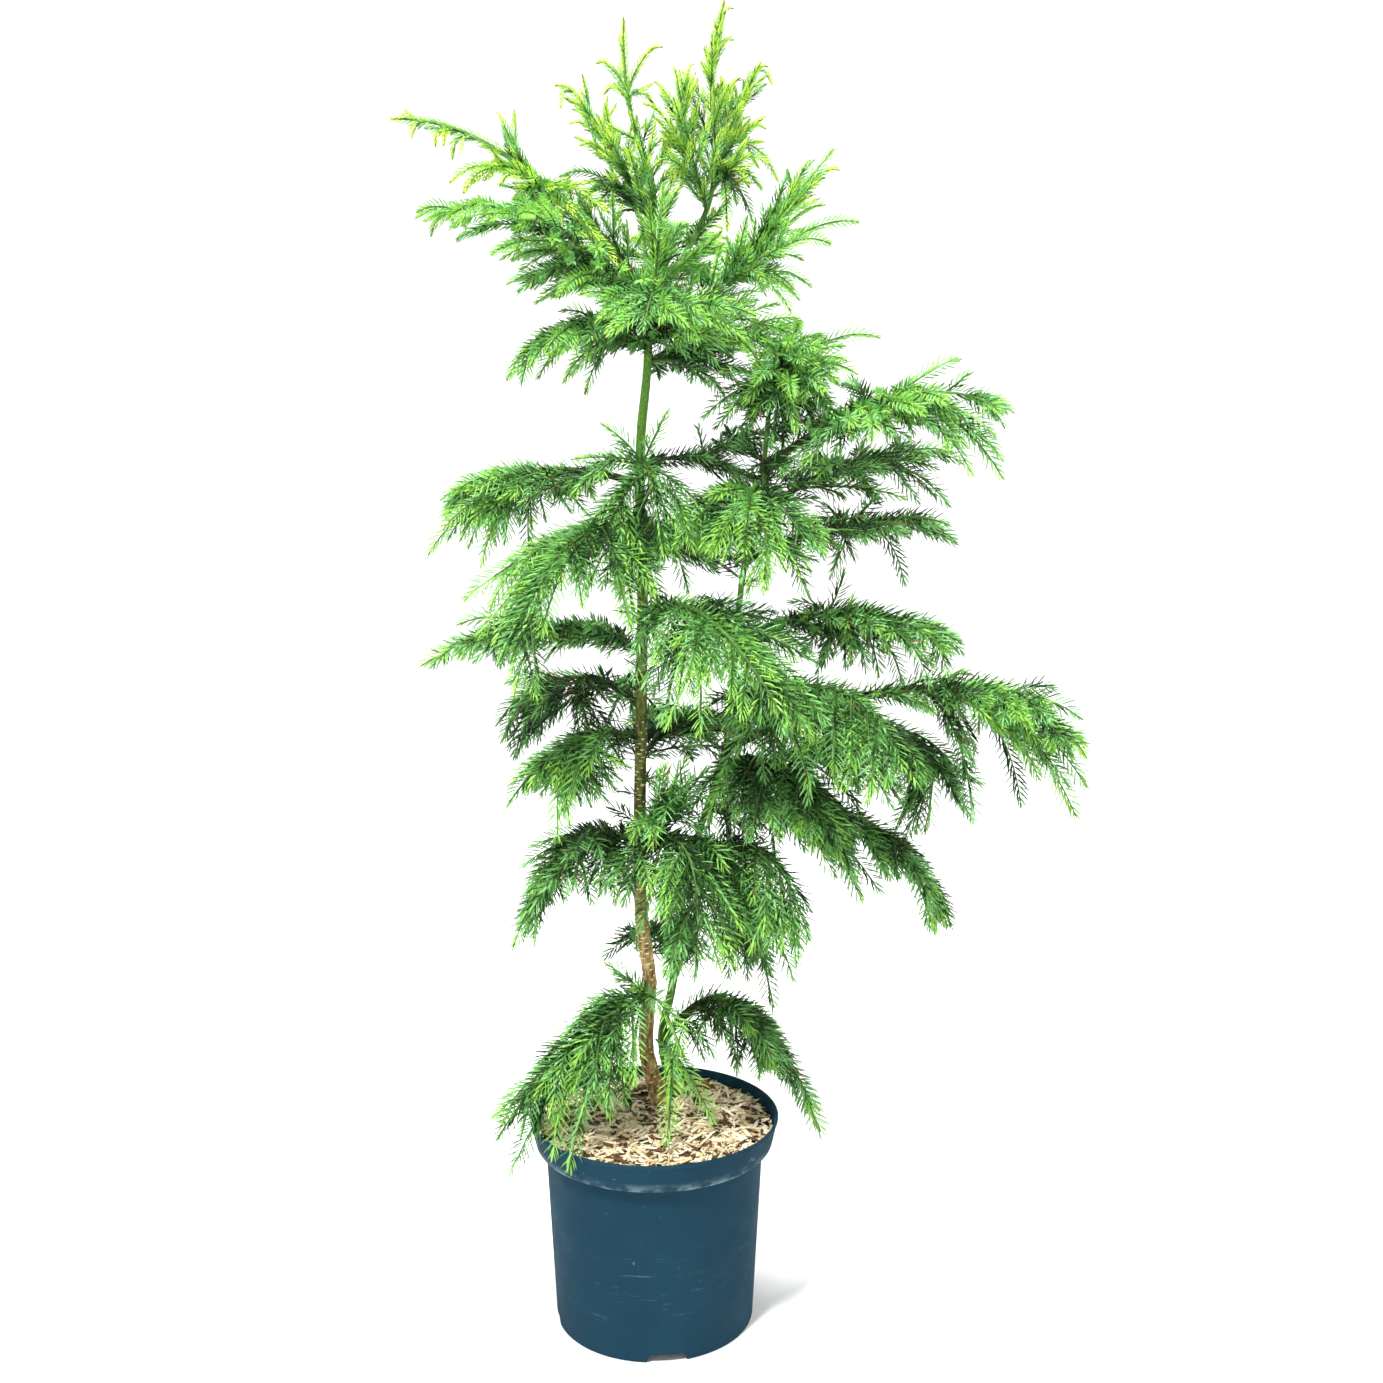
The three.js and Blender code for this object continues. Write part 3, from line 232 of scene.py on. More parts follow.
SPRAYS = [
    Spray("leader", "trunk", 1338, (-28, 5, 1390), (-28, 5, 1436), "shoot",
        [(0.1, -60, 10, 1390), (0.05, 14, -5, 1404), (0, -52, 28, 1362), (0, 5, 35, 1350)]),
    Spray("left_top", "trunk", 1220, (-54, 20, 1322), (-104, 25, 1372), "shoot",
        [(0.05, -98, -12, 1272), (0.45, -88, 20, 1332), (0.3, -76, 2, 1306), (0.2, -50, -35, 1315),
         (0, -80, 60, 1240)],
        [(0.05, -65, -20, 1255), (0, -40, 0, 1225), (0.1, -80, -35, 1235), (1.1, -95, 10, 1345)]),
    Spray("pale_top", "co_leader", 1245, (35, -15, 1320), (25, -20, 1382), "shoot",
        [(0.7, 46, -15, 1385), (0.2, -8, -38, 1340), (0.45, 50, 0, 1336), (0, 5, -60, 1275),
         (0.3, 50, 30, 1340)]),
    Spray("co_leader_top", "co_leader", 1290, (66, 25, 1398), (88, 25, 1450), "shoot",
        [(0.55, 88, 25, 1418), (0.35, 55, 20, 1412), (0, 95, 50, 1345), (0.1, 98, 22, 1378)], shade=0.55),
    Spray("right_top", "co_leader", 1262, (96, 55, 1355), (126, 60, 1400), "shoot",
        [(0.2, 125, 60, 1335), (0.25, 140, 95, 1285), (0.5, 116, 36, 1376), (0, 128, 30, 1292)],
        [(0, 90, -30, 1240), (0.05, 105, 20, 1265), (0, 80, -20, 1215), (0, 110, 30, 1230),
         (0, 120, 30, 1265), (1.1, 130, 60, 1380)]),
    Spray("right_high", "trunk", 1120, (85, -40, 1165), (192, -50, 1298), "shoot",
        [(0.45, 144, -32, 1274), (0.3, 180, -70, 1235), (0, 210, -120, 1210), (0.05, 180, -142, 1185),
         (0, 170, -40, 1155), (0.1, 115, -85, 1145)],
        [(0, 115, -90, 1155), (0.05, 150, -60, 1150), (0, 90, -70, 1205), (0.1, 160, -60, 1180),
         (0.5, 170, -45, 1285), (0.45, 180, -55, 1265), (0.02, 155, -60, 1140), (0.05, 145, -80, 1125),
         (1.2, 195, -60, 1270), (1, 165, -40, 1285)], bough=0.4),
    Spray("right_ring", "trunk", 1085, (65, 40, 1100), (170, 70, 1135), "spray",
        [(0.12, 85, 90, 1040), (0.5, 120, 90, 1160)],
        [(0.4, 165, 60, 1135), (0.1, 130, 30, 1170), (0.2, 140, 0, 1145), (0, 95, 20, 1140)]),
    Spray("upper_left", "trunk", 1150, (-120, -15, 1268), (-272, -35, 1326), "shoot",
        [(0.17, -162, -8, 1340), (0.2, -205, -60, 1256), (0, -90, -60, 1215), (0.3, -190, -65, 1245),
         (0.08, -150, 35, 1225)],
        [(0.1, -155, -50, 1255), (0.05, -110, 0, 1250), (0, -135, -60, 1180), (0, -50, -60, 1200),
         (0.02, -75, -60, 1225), (0, -30, -50, 1175), (0, -90, -90, 1190), (0.05, -105, -90, 1205),
         (0.02, -40, -40, 1230), (1.55, -245, -38, 1305), (1.3, -220, -42, 1295), (1.05, -205, -30, 1285),
         (1.45, -240, -30, 1315), (1.2, -210, -50, 1295), (0.95, -195, -38, 1290), (1.6, -255, -36, 1325)],
        bough=0.4, bare=0.06, shade=-0.2),
    Spray("left_high", "trunk", 1132, (-110, -80, 1215), (-225, -115, 1210), "spray",
        [(0.45, -190, -130, 1190), (0.25, -155, -142, 1175), (0.15, -130, -130, 1140),
         (0.05, -140, -96, 1155), (0, -85, -25, 1180), (0.35, -150, -70, 1235)],
        [(0.05, -120, -70, 1135), (0.1, -90, -130, 1135), (0, -80, -60, 1190), (0.2, -140, -100, 1175),
         (1.2, -215, -120, 1195)]),
    Spray("left_ring", "trunk", 1100, (-75, -40, 1115), (-140, -60, 1080), "spray",
        [(0.4, -120, -40, 1060), (0.05, -90, -72, 1055), (0.1, -70, -30, 1045)],
        [(0, -40, -30, 1085), (0, -20, -50, 1090), (0.05, -50, -60, 1095), (0.1, -90, -60, 1115),
         (0, -65, 10, 1080), (0.1, -95, -60, 1130)]),
    Spray("front_ring", "trunk", 1090, (5, -100, 1140), (-5, -180, 1095), "spray",
        [(0.2, -45, -150, 1125), (0.3, 50, -150, 1100), (0.1, 110, -110, 1120), (0.05, 15, -70, 1260),
         (0, 75, -45, 1120)],
        [(0, -20, -70, 1085), (0.1, 40, -80, 1080), (0, 20, -60, 1090), (0.1, -50, -90, 1100),
         (0.2, 100, -120, 1095), (0.1, 70, -120, 1070), (0.3, 50, -150, 1090), (0.1, 85, -110, 1125)]),
    Spray("back_top", "trunk", 1128, (15, 110, 1210), (40, 180, 1255), "spray",
        [(0.3, -65, 160, 1220), (0.2, 110, 150, 1220)]),
    Spray("right_crown", "second_stem", 1040, (145, -10, 1080), (165, -20, 1110), "spray",
        [(0.3, 70, -50, 1110), (0.3, 250, 20, 1110), (0.1, 215, -70, 1065), (0.05, 145, -42, 1040),
         (0.2, 170, 60, 1075)],
        [(0, 165, -60, 1045), (0.05, 195, 20, 1035), (0, 130, -50, 1015), (0.2, 205, 40, 1075),
         (0.1, 180, 60, 1020), (0.05, 100, 0, 1060), (0.05, 105, 50, 1015), (0.1, 205, -60, 1080),
         (0.05, 185, -60, 1050), (0.05, 50, -30, 1020), (0.3, 140, -90, 1095), (0.2, 155, -90, 1075),
         (0.05, 180, -90, 1045), (0, 145, -90, 1040), (0.1, 105, -90, 1055), (0.25, 120, -90, 1080),
         (0.35, 175, -80, 1090), (0, 75, -45, 1020), (0.05, 95, -60, 1035), (0, 100, -55, 1005),
         (0.05, 120, -70, 1025), (0, 125, -60, 990), (0.05, 150, -70, 1005), (0.1, 175, -50, 995),
         (0.15, 200, -60, 1000), (0.3, 195, -70, 1055), (0, 65, 30, 1010), (0, 95, 60, 1000),
         (0.05, 145, 50, 980), (0.05, 85, 20, 1045), (0.1, 165, 10, 985), (0.2, 190, -90, 1015)]),
    Spray("right_far_up", "second_stem", 970, (250, -50, 1040), (370, -80, 1025), "spray",
        [(0.4, 370, -60, 956), (0.3, 330, -100, 960), (0.35, 330, -20, 1085), (0.1, 205, 0, 1060),
         (0, 220, -140, 995), (0.12, 205, 35, 1060), (0.05, 175, -100, 1000), (0.25, 255, -25, 1025)],
        [(0, 190, -60, 1000), (0.05, 245, 0, 1010), (0.1, 270, -80, 1015), (0.15, 305, -20, 1005),
         (0, 205, -60, 1040), (0.2, 315, -110, 1020), (0.05, 260, -40, 995), (0.05, 205, -90, 995),
         (0.3, 295, -80, 1005), (0.4, 360, -70, 1000), (0.45, 370, -60, 975), (0.02, 130, -50, 960),
         (0.05, 155, -60, 970), (0.1, 185, -70, 980), (0.2, 220, -60, 990), (0.25, 245, -70, 995),
         (0.3, 270, -90, 1000), (1.2, 365, -80, 1010), (1, 335, -60, 1070)], bough=0.3, bare=0.45),
    Spray("right_mid", "second_stem", 920, (220, 80, 975), (340, 120, 985), "spray",
        [(0.4, 325, 90, 935), (0.25, 290, 130, 970), (0.5, 335, 60, 925), (0.1, 195, 50, 965),
         (0.15, 255, 110, 930)],
        [(0, 165, 40, 980), (0, 175, -20, 960), (0.05, 215, 60, 980), (0.1, 225, 20, 955),
         (0.1, 255, 60, 930), (0, 140, 0, 960)], bough=0.35, bare=0.5, shade=0.5),
    Spray("right_mid_low", "second_stem", 870, (230, 30, 910), (340, 30, 885), "spray",
        [(0.3, 285, 60, 835), (0.1, 245, -20, 940), (0.15, 220, -20, 895), (0, 180, 55, 930)],
        [(0, 170, 10, 915), (0.05, 205, 60, 920), (0.1, 210, 20, 895), (0, 200, 30, 860),
         (0.05, 195, 30, 845)], bough=0.35, shade=0.65),
    Spray("front_right", "second_stem", 940, (105, -90, 935), (140, -140, 865), "weeping",
        [(0.3, 65, -120, 880), (0.4, 95, -160, 880), (0.1, 50, -60, 940), (0.1, 55, -95, 940)],
        shade=-0.3),
    Spray("back_right", "trunk", 980, (70, 90, 990), (130, 150, 1015), "spray",
        [(0.5, 60, 120, 965), (0.5, 45, 60, 1020)], shade=0.6),
    Spray("mid_tuft", "trunk", 970, (0, -50, 960), (15, -80, 875), "weeping",
        [(0, 20, -30, 1035), (0.05, -55, -40, 1020), (0.1, -85, -60, 980), (0.15, 40, -50, 835)],
        shade=-0.3),
    Spray("left_mid", "trunk", 955, (-135, 35, 965), (-240, 45, 915), "spray",
        [(0, -245, -10, 875), (0.25, -235, 20, 935), (0.05, -135, 10, 870), (0.1, -195, 70, 960),
         (0.12, -160, -25, 900)],
        [(0.1, -100, 10, 955), (0.05, -90, -10, 940), (0, -65, -30, 920), (0.1, -115, 10, 910),
         (0.2, -180, 10, 890), (0.15, -190, 20, 860), (0.25, -195, -10, 905), (0.1, -150, 60, 905),
         (0.05, -85, 0, 920), (0.2, -210, 0, 890), (0.3, -225, 0, 890), (0.25, -205, 20, 880),
         (0.15, -160, -10, 885)], bough=0.35),
    Spray("left_front", "trunk", 910, (-90, -130, 885), (-135, -185, 765), "weeping",
        [(0.35, -195, -110, 835), (0.3, -105, -200, 805), (0.1, -15, -180, 810), (0.2, -175, -150, 800)],
        shade=-0.3),
    Spray("left_thin", "trunk", 770, (-120, -40, 800), (-250, -60, 760), "spray",
        [(0.5, -210, -50, 805), (0.55, -190, -70, 765), (0.3, -115, -60, 765)],
        [(0.05, -50, -20, 765)]),
    Spray("left_dark", "trunk", 710, (-95, 70, 735), (-175, 110, 685), "weeping",
        [(0.35, -165, 100, 630), (0.2, -120, 60, 675), (0.5, -180, 120, 720), (0.1, -65, 85, 700)],
        [(0, -30, -20, 645), (0, -45, 0, 620), (0.02, -60, -10, 660), (0.05, -70, 20, 625),
         (0, -60, 30, 720), (0, -40, 0, 715), (0.4, -175, 100, 640)], bough=0.35, shade=0.7),
    Spray("front_fan", "trunk", 805, (55, -150, 825), (130, -230, 735), "weeping",
        [(0, 10, -190, 715), (0.1, 50, -220, 710), (0.35, 170, -180, 780), (0.25, 180, -200, 720)],
        [(0.1, 110, -120, 835), (0.05, 75, -110, 835), (0.15, 140, -130, 815), (0.2, 155, -120, 790)],
        bough=0.3, shade=-0.2),
    Spray("right_fan", "second_stem", 710, (200, -90, 740), (260, -150, 660), "weeping",
        [(0.2, 255, -110, 615), (0.1, 215, -150, 640), (0, 160, -190, 655), (0, 125, -180, 675),
         (0.1, 85, -125, 675)], shade=0.1),
    Spray("right_level", "second_stem", 780, (225, -20, 815), (325, -60, 770), "spray",
        [(0, 210, 10, 865), (0.2, 220, -20, 840), (0.5, 295, -80, 740), (0.35, 250, -72, 775),
         (0.1, 235, -45, 790), (0.3, 300, 0, 770)],
        [(0.1, 185, 0, 750), (0.15, 215, -20, 755), (0.2, 250, 0, 740), (0.05, 165, 20, 765),
         (0.3, 275, -10, 730), (0, 140, 10, 800), (0, 205, 40, 780), (0.1, 215, -40, 760),
         (0, 145, 0, 825), (0, 160, -20, 765), (0.02, 185, -30, 760), (0.05, 210, -20, 750),
         (0.1, 235, 0, 745), (0.05, 180, 20, 740)], bough=0.3, shade=0.2),
    Spray("right_far", "second_stem", 655, (315, -10, 732), (470, -50, 660), "spray",
        [(0.1, 355, 10, 745), (0.45, 460, -70, 705), (0.2, 480, 20, 575), (0.3, 420, 40, 585),
         (0, 360, 20, 570), (0.3, 485, 0, 615), (0.1, 330, 30, 695), (0.2, 375, -35, 685)],
        [(0.3, 435, 20, 620), (0.25, 440, -20, 645), (0.1, 360, 10, 650)], bough=0.4),
    Spray("right_strand", "second_stem", 595, (285, 90, 670), (320, 130, 530), "weeping",
        [(0.3, 390, 90, 600), (0.2, 270, 150, 585)], shade=0.35),
    Spray("back_upper", "trunk", 875, (30, 130, 890), (80, 220, 910), "spray",
        [(0.3, -45, 180, 920), (0.4, -80, 150, 880), (0.1, 55, 170, 865)], shade=0.4),
    Spray("back_mid", "trunk", 650, (30, 140, 675), (80, 240, 645), "spray",
        [(0.3, -45, 180, 640), (0.3, 150, 200, 615), (0.1, 55, 180, 665)], shade=0.4),
    Spray("left_low", "trunk", 675, (-90, -30, 675), (-160, -50, 605), "weeping",
        [(0.05, -100, -70, 570), (0.1, -45, -50, 610), (0.4, -120, 0, 615), (0, -30, -60, 655)],
        [(0, -60, 10, 665), (0, -20, -30, 645), (0, -55, -30, 625), (0.05, -80, -20, 610),
         (0.05, -95, -40, 590), (0.5, -160, -30, 625), (0, -30, -50, 635), (0.05, -65, -50, 605),
         (0, -35, -40, 620), (0, -60, -20, 605), (0.02, -80, 0, 595), (0.05, -95, -20, 595)],
        bough=0.35, shade=-0.1),
    Spray("left_bottom", "trunk", 550, (-95, 30, 545), (-150, 50, 435), "weeping",
        [(0.3, -155, 20, 520), (0.2, -125, 70, 475), (0.05, -65, 60, 480), (0.1, -80, -120, 570),
         (0, -40, -60, 505), (0.05, -45, -45, 545)],
        [(0.2, -145, 20, 545)]),
    Spray("fan_high", "second_stem", 640, (150, -80, 645), (190, -120, 565), "weeping",
        [(0.2, 155, -140, 595), (0.1, 100, -120, 590), (0.4, 230, -60, 500)]),
    Spray("fan_far", "second_stem", 580, (245, 30, 570), (340, 40, 440), "weeping",
        [(0.45, 315, 30, 520), (0.2, 260, 10, 490), (0.1, 225, 50, 520)]),
    Spray("fan_low", "second_stem", 510, (115, -60, 565), (170, -90, 465), "weeping",
        [(0.5, 175, -60, 490), (0.2, 155, -90, 420), (0.1, 120, -120, 460)]),
    Spray("fan_dark", "second_stem", 475, (95, 100, 465), (145, 130, 310), "weeping",
        [(0.4, 110, 90, 360), (0.1, 80, 60, 395)], shade=0.6),
    Spray("centre_hang", "trunk", 550, (40, -100, 565), (45, -140, 440), "weeping",
        [(0.2, 20, -120, 450), (0.1, 75, -110, 440), (0, 45, -120, 630), (0, 15, -80, 665),
         (0, 45, -125, 660)],
        [(0, 10, -60, 655), (0, 40, -60, 670), (0, 65, -80, 660), (0, 25, -40, 630)], shade=-0.1),
    Spray("bottom_back", "trunk", 415, (-10, 130, 415), (40, 220, 350), "spray",
        [(0.3, -65, 120, 380), (0.4, -50, 170, 385), (0.2, 105, 180, 400)]),
    Spray("bottom_left", "trunk", 365, (-55, -25, 360), (-180, -70, 260), "weeping",
        [(0.45, -180, -40, 220), (0.3, -160, -75, 195), (0.25, -90, -125, 220), (0, -30, -60, 280),
         (0.05, -70, -40, 285)],
        [(0, -50, 10, 405), (0, -25, -10, 395), (0, -60, 30, 410)], shade=-0.4),
    Spray("bottom_right", "second_stem", 300, (100, 50, 350), (200, 60, 180), "weeping",
        [(0.3, 165, 20, 245), (0.15, 125, 90, 238), (0.05, 70, 30, 305), (0.1, 125, 45, 265),
         (0.25, 160, 60, 265)],
        [(0, 55, 40, 335), (0.05, 75, 70, 310), (0, 40, 20, 320), (0.1, 95, 40, 270)],
        bough=0.3, shade=0.1),
    Spray("bottom_front", "second_stem", 295, (20, -20, 305), (15, -105, 240), "weeping",
        [(0.1, 70, -60, 247), (0.05, 40, -30, 270)], shade=-4, plain=True),
]


class StemTwigs(NamedTuple):
    """Twigs that leave a stem itself, all round it: between which heights, how far apart and how long."""

    stem: str
    low: float
    high: float
    spacing: float
    reach: tuple
    habit: str


STEM_TWIGS = [
    StemTwigs("trunk", 1085, 1325, 5.5, (95, 45), "shoot"),
    StemTwigs("trunk", 480, 990, 13, (55, 70), "spray"),
    StemTwigs("second_stem", 840, 1044, 6.5, (90, 80), "spray"),
    StemTwigs("second_stem", 470, 840, 16, (45, 75), "spray"),
    StemTwigs("co_leader", 1175, 1290, 8, (60, 45), "shoot"),
]

# Sky that the photograph shows between and beside the twigs, as ovals in its pixels: how far across and down
# the middle is, half of the width and half of the height
SKY = [
    (608, 40, 10, 34), (641, 42, 15, 45), (692, 32, 14, 28), (738, 22, 14, 12), (734, 62, 12, 14),
    (772, 100, 12, 14), (468, 110, 32, 22), (546, 138, 20, 40), (510, 322, 44, 26), (490, 368, 18, 14),
    (850, 322, 32, 18), (975, 381, 56, 17), (1036, 440, 24, 50), (990, 470, 8, 18), (618, 486, 15, 9),
    (681, 466, 21, 14), (928, 480, 22, 10), (988, 542, 26, 30), (935, 560, 26, 18), (872, 562, 14, 18),
    (690, 577, 24, 15), (731, 578, 6, 13), (788, 582, 13, 15), (826, 590, 20, 9), (438, 692, 42, 22),
    (478, 690, 16, 40), (572, 602, 9, 15), (552, 613, 8, 7), (593, 610, 6, 13), (558, 662, 20, 11),
    (622, 648, 8, 7), (622, 668, 8, 6), (586, 713, 22, 18), (566, 734, 28, 9), (480, 748, 16, 40),
    (603, 763, 12, 12), (520, 819, 30, 20), (482, 842, 18, 30), (498, 918, 20, 45), (572, 932, 36, 26),
    (618, 936, 18, 22), (812, 895, 22, 36), (846, 930, 22, 40), (832, 972, 25, 22), (866, 868, 9, 24),
    (905, 917, 22, 32), (970, 895, 24, 45), (938, 965, 30, 20), (941, 814, 15, 30), (966, 856, 20, 18),
    (1002, 772, 12, 26), (1110, 770, 16, 60), (1012, 667, 50, 16), (996, 646, 28, 20), (893, 667, 12, 10),
    (711, 910, 9, 17), (708, 976, 7, 20), (752, 991, 26, 14), (796, 1012, 20, 34), (778, 1101, 22, 16),
    (846, 1110, 16, 40), (800, 1132, 12, 18), (748, 1058, 7, 12), (525, 460, 70, 10), (430, 525, 10, 32),
    (925, 606, 40, 14), (790, 858, 14, 14), (902, 720, 22, 18), (580, 168, 14, 9), (475, 139, 18, 7),
    (688, 207, 11, 16), (634, 255, 12, 8), (700, 288, 8, 5), (568, 309, 9, 8), (666, 346, 7, 7),
    (568, 201, 6, 7), (430, 236, 18, 12), (440, 196, 34, 7), (834, 1162, 16, 18), (704, 12, 11, 18),
]
# The foot of the trunk and the mulch, which show between the lowest strands, given as the sky is
SHOWN = [
    (648, 1000, 12, 90), (656, 1085, 12, 20), (640, 1145, 60, 18), (735, 1120, 22, 34), (700, 1150, 40, 12),
]
OVALS = np.array(SKY + SHOWN)

# Room, in millimetres: how clear a twig stays of the pot, the soil and the floor, and the crown's box
POT_CLEAR = 4
RIM_CLEAR = 12
FLOOR_CLEAR = 8
CROWN_LOW = np.array([-281, -248, 0])
CROWN_HIGH = np.array([490, 246, 1462])
LOOKED_AT = np.linspace(0.15, 1, 12)  # the shares of a twig that need room
SKY_FROM = 5  # of those, the first ones may cross the sky

# Needles: how long they are at each height, how far apart, and how many degrees they stand off their twig
NEEDLE_HEIGHTS = (200, 500, 800, 1000, 1150, 1300, 1450)
NEEDLE_LENGTHS = (21.5, 20.5, 19.5, 17.5, 15, 11.5, 9.5)
NEEDLE_SPACINGS = (1.75, 1.75, 1.7, 1.55, 1.25, 0.95, 0.78)
NEEDLE_LEANS = (48, 48, 48, 48, 45, 40, 36)
NEEDLE_BOW = 9  # degrees it bends forward each side of its middle, which also gives it its thickness
NEEDLE_TURN = 144  # degrees from one needle to the next, which sets them in five ranks
RANK_WOBBLE = 9  # degrees that a needle stands off its rank
RANK_TWIST = 0.35  # degrees that the ranks wind round the twig for each millimetre
NEEDLE_LEAST_WIDTH = 1.3
NEEDLE_WIDTH = 0.05  # of its length, on top of the least width in millimetres
NEEDLE_OVERHANG = 0.5  # the last needles reach past their twig's end by this share of their length
NEEDLE_SUNK = 0.4  # a needle's foot lies this deep in its twig
NEEDLE_SIDES = (0.22, 0.66)  # its edges are parallel between these shares of its length
NEEDLE_ENDING = 0.85  # its width at the second of them, of its width at the first
NEEDLE_SIZE_PLAY = (0.88, 1.1)
NEEDLE_LEAN_PLAY = (0.9, 1.1)
LEAST_NEEDLES = 4  # a twig that has room for fewer carries none
BARE_FOOT = {"stem": 1, "twig": 3}  # no needle stands nearer to the foot of the leafy part
OPENING = {"stretch": 12, "shorter": 0.35}  # needles at their twig's foot are shorter
CLOSING = {"stretch": 22, "shorter": 0.46, "closer": 0.6}  # and so are those at its tip, which also lean in
TWIG_TUBE = {"sides": 4, "step": 9}
FINE_TUBE = {"sides": 3, "step": 14.4}
TWIG_END = 0.98  # its last needles cover the rest
LEAST_RINGS = 3

# The tones of the foliage: the share of each at a few heights, and the record's slot for its needles
TONES = ("tip", "bright", "mint", "mid", "deep", "bronze")
TONE_HEIGHTS = (200, 500, 800, 1000, 1120, 1250, 1350, 1450)
TONE_SHARES = {
    "tip": (0, 0, 0, 0, 0.04, 0.2, 0.6, 0.85),
    "bright": (0.25, 0.2, 0.2, 0.3, 0.45, 0.5, 0.34, 0.15),
    "mint": (0.25, 0.3, 0.32, 0.25, 0.12, 0.02, 0, 0),
    "mid": (0.3, 0.3, 0.28, 0.28, 0.25, 0.15, 0.05, 0),
    "deep": (0.15, 0.15, 0.15, 0.1, 0.06, 0.03, 0, 0),
}
NEEDLE_COLORS = {
    "tip": ((186, 224, 88), "bright_needles"),
    "bright": ((142, 200, 84), "bright_needles"),
    "mint": ((124, 186, 106), "needles"),
    "mid": ((84, 142, 64), "needles"),
    # deep: painted shade for needles deep in the crown, and also the dark old needles
    "deep": ((26, 62, 20), "deep_needles"),
    "bronze": ((112, 88, 56), "deep_needles"),
}
DEEP, BRONZE = TONES.index("deep"), TONES.index("bronze")
BRONZE_SHARE = 0.1  # of the needles that are wholly in the shade
TIP_STRETCH = 16  # the last stretch of a twig is a tone lighter
DARK_FOOT = 0.3  # and this share of it at its foot a tone darker, as painted shade and for the older needles there
YELLOW_FROM = 1230  # no needle is yellow below this height
NEEDLE_TONES = (0.12, 0.6, 0.28)  # the shares a tone lighter than their twig, of its tone and darker
LIGHTEST = 1e-3  # the least place in the tones, from 0 to 1
NEEDLE_PALER = 1.12  # how far a tone varies, as the shader takes it
NEEDLE_LIFT = 0.01
NEEDLE_DARKER = 0.82
TRIANGLES_PER_PIECE = 180000
NEEDLE_FACES = np.array([
    (0, 4, 2), (0, 5, 4), (0, 1, 3), (0, 3, 5), (0, 2, 1), (1, 4, 3), (1, 2, 4), (3, 4, 5),
])

# Measuring a curve
CURVE_STEPS = 81
NEAR = 1e-3  # the share to each side of a place that gives its tangent
HALVINGS = 30  # of the span in which a height is looked for


def seeded(seed):
    """Draws numbers from 0 to 1, the same ones for the same seed."""
    state = seed & 0xFFFFFFFF

    def draw():
        nonlocal state
        state = (state + 0x6D2B79F5) & 0xFFFFFFFF
        mixed = ((state ^ (state >> 15)) * (state | 1)) & 0xFFFFFFFF
        mixed ^= (mixed + (((mixed ^ (mixed >> 7)) * (mixed | 61)) & 0xFFFFFFFF)) & 0xFFFFFFFF
        return ((mixed ^ (mixed >> 14)) & 0xFFFFFFFF) / 4294967296

    return draw


def drawn(draw, least, more):
    return least + more * draw()


def unit(vectors):
    lengths = np.linalg.norm(vectors, axis=-1, keepdims=True)
    return vectors / np.maximum(lengths, 1e-9)


def around(first, second, angles):
    """Directions at angles from the first of two square directions towards the second."""
    return first * np.cos(angles)[..., None] + second * np.sin(angles)[..., None]


# Curves

class Curve:
    """A curve with its length and the places at even distances along it."""

    def measure(self):
        self.shares = np.linspace(0, 1, CURVE_STEPS)
        steps = np.linalg.norm(np.diff(self.points(self.shares), axis=0), axis=1)
        self.reached = np.concatenate([[0], np.cumsum(steps)])
        self.length = self.reached[-1]

    def share_at(self, distance):
        return np.interp(distance, self.reached, self.shares)

    def tangents(self, shares):
        shares = np.asarray(shares, float)
        return unit(self.points(np.minimum(shares + NEAR, 1)) - self.points(np.maximum(shares - NEAR, 0)))

    def share_at_height(self, height):
        low, high = 0.0, 1.0
        for _ in range(HALVINGS):
            middle = (low + high) / 2
            if self.points(middle)[2] < height:
                low = middle
            else:
                high = middle
        return (low + high) / 2


class Arc(Curve):
    """A quadratic curve from its root to its tip, pulled towards a third point, whose end may bow down."""

    def __init__(self, root, pull, tip, nod):
        self.root, self.pull, self.tip = (np.asarray(point, float) for point in (root, pull, tip))
        self.nod = np.array([0, 0, nod])
        self.measure()

    def points(self, shares):
        t = np.asarray(shares, float)[..., None]
        bowed = np.clip((t - NOD_FROM) / (1 - NOD_FROM), 0, 1) ** 2
        arc = (1 - t) ** 2 * self.root + 2 * t * (1 - t) * self.pull + t**2 * (self.tip + self.nod)
        return arc - bowed * self.nod


class Route(Curve):
    """The smooth curve through a stem's points, its tangents half the way between their neighbours."""

    def __init__(self, route):
        points = np.asarray(route, float)
        first = 2 * points[0] - points[1]
        last = 2 * points[-1] - points[-2]
        self.knots = np.vstack([first, points, last])
        self.spans = len(points) - 1
        self.measure()

    def points(self, shares):
        along = np.asarray(shares, float) * self.spans
        span = np.clip(np.floor(along).astype(int), 0, self.spans - 1)
        t = (along - span)[..., None]
        before, start, end, after = (self.knots[span + k] for k in range(4))
        leaving = 0.5 * (end - before)
        arriving = 0.5 * (after - start)
        bend = -3 * start + 3 * end - 2 * leaving - arriving
        turn = 2 * start - 2 * end + leaving + arriving
        return start + leaving * t + bend * t**2 + turn * t**3


STEM_CURVES = {name: Route(route) for name, route in STEM_ROUTES.items()}


def spray_curve(row):
    """The curve of a spray's own stem, which passes through its middle."""
    stem = STEM_CURVES[row.stem]
    root = stem.points(stem.share_at_height(row.leaves))
    arch, tip = np.array(row.arch, float), np.array(row.tip, float)
    return Arc(root, 2 * arch - (root + tip) / 2, tip, NOD[row.habit])


def stem_radius(name, shares):
    curve, radii = STEM_CURVES[name], STEM_RADII[name]
    height = curve.points(shares)[..., 2] - curve.points(0)[2]
    flare = radii["flare"] * np.exp(-height / radii["flare_height"])
    return radii["foot"] + (radii["top"] - radii["foot"]) * shares + flare


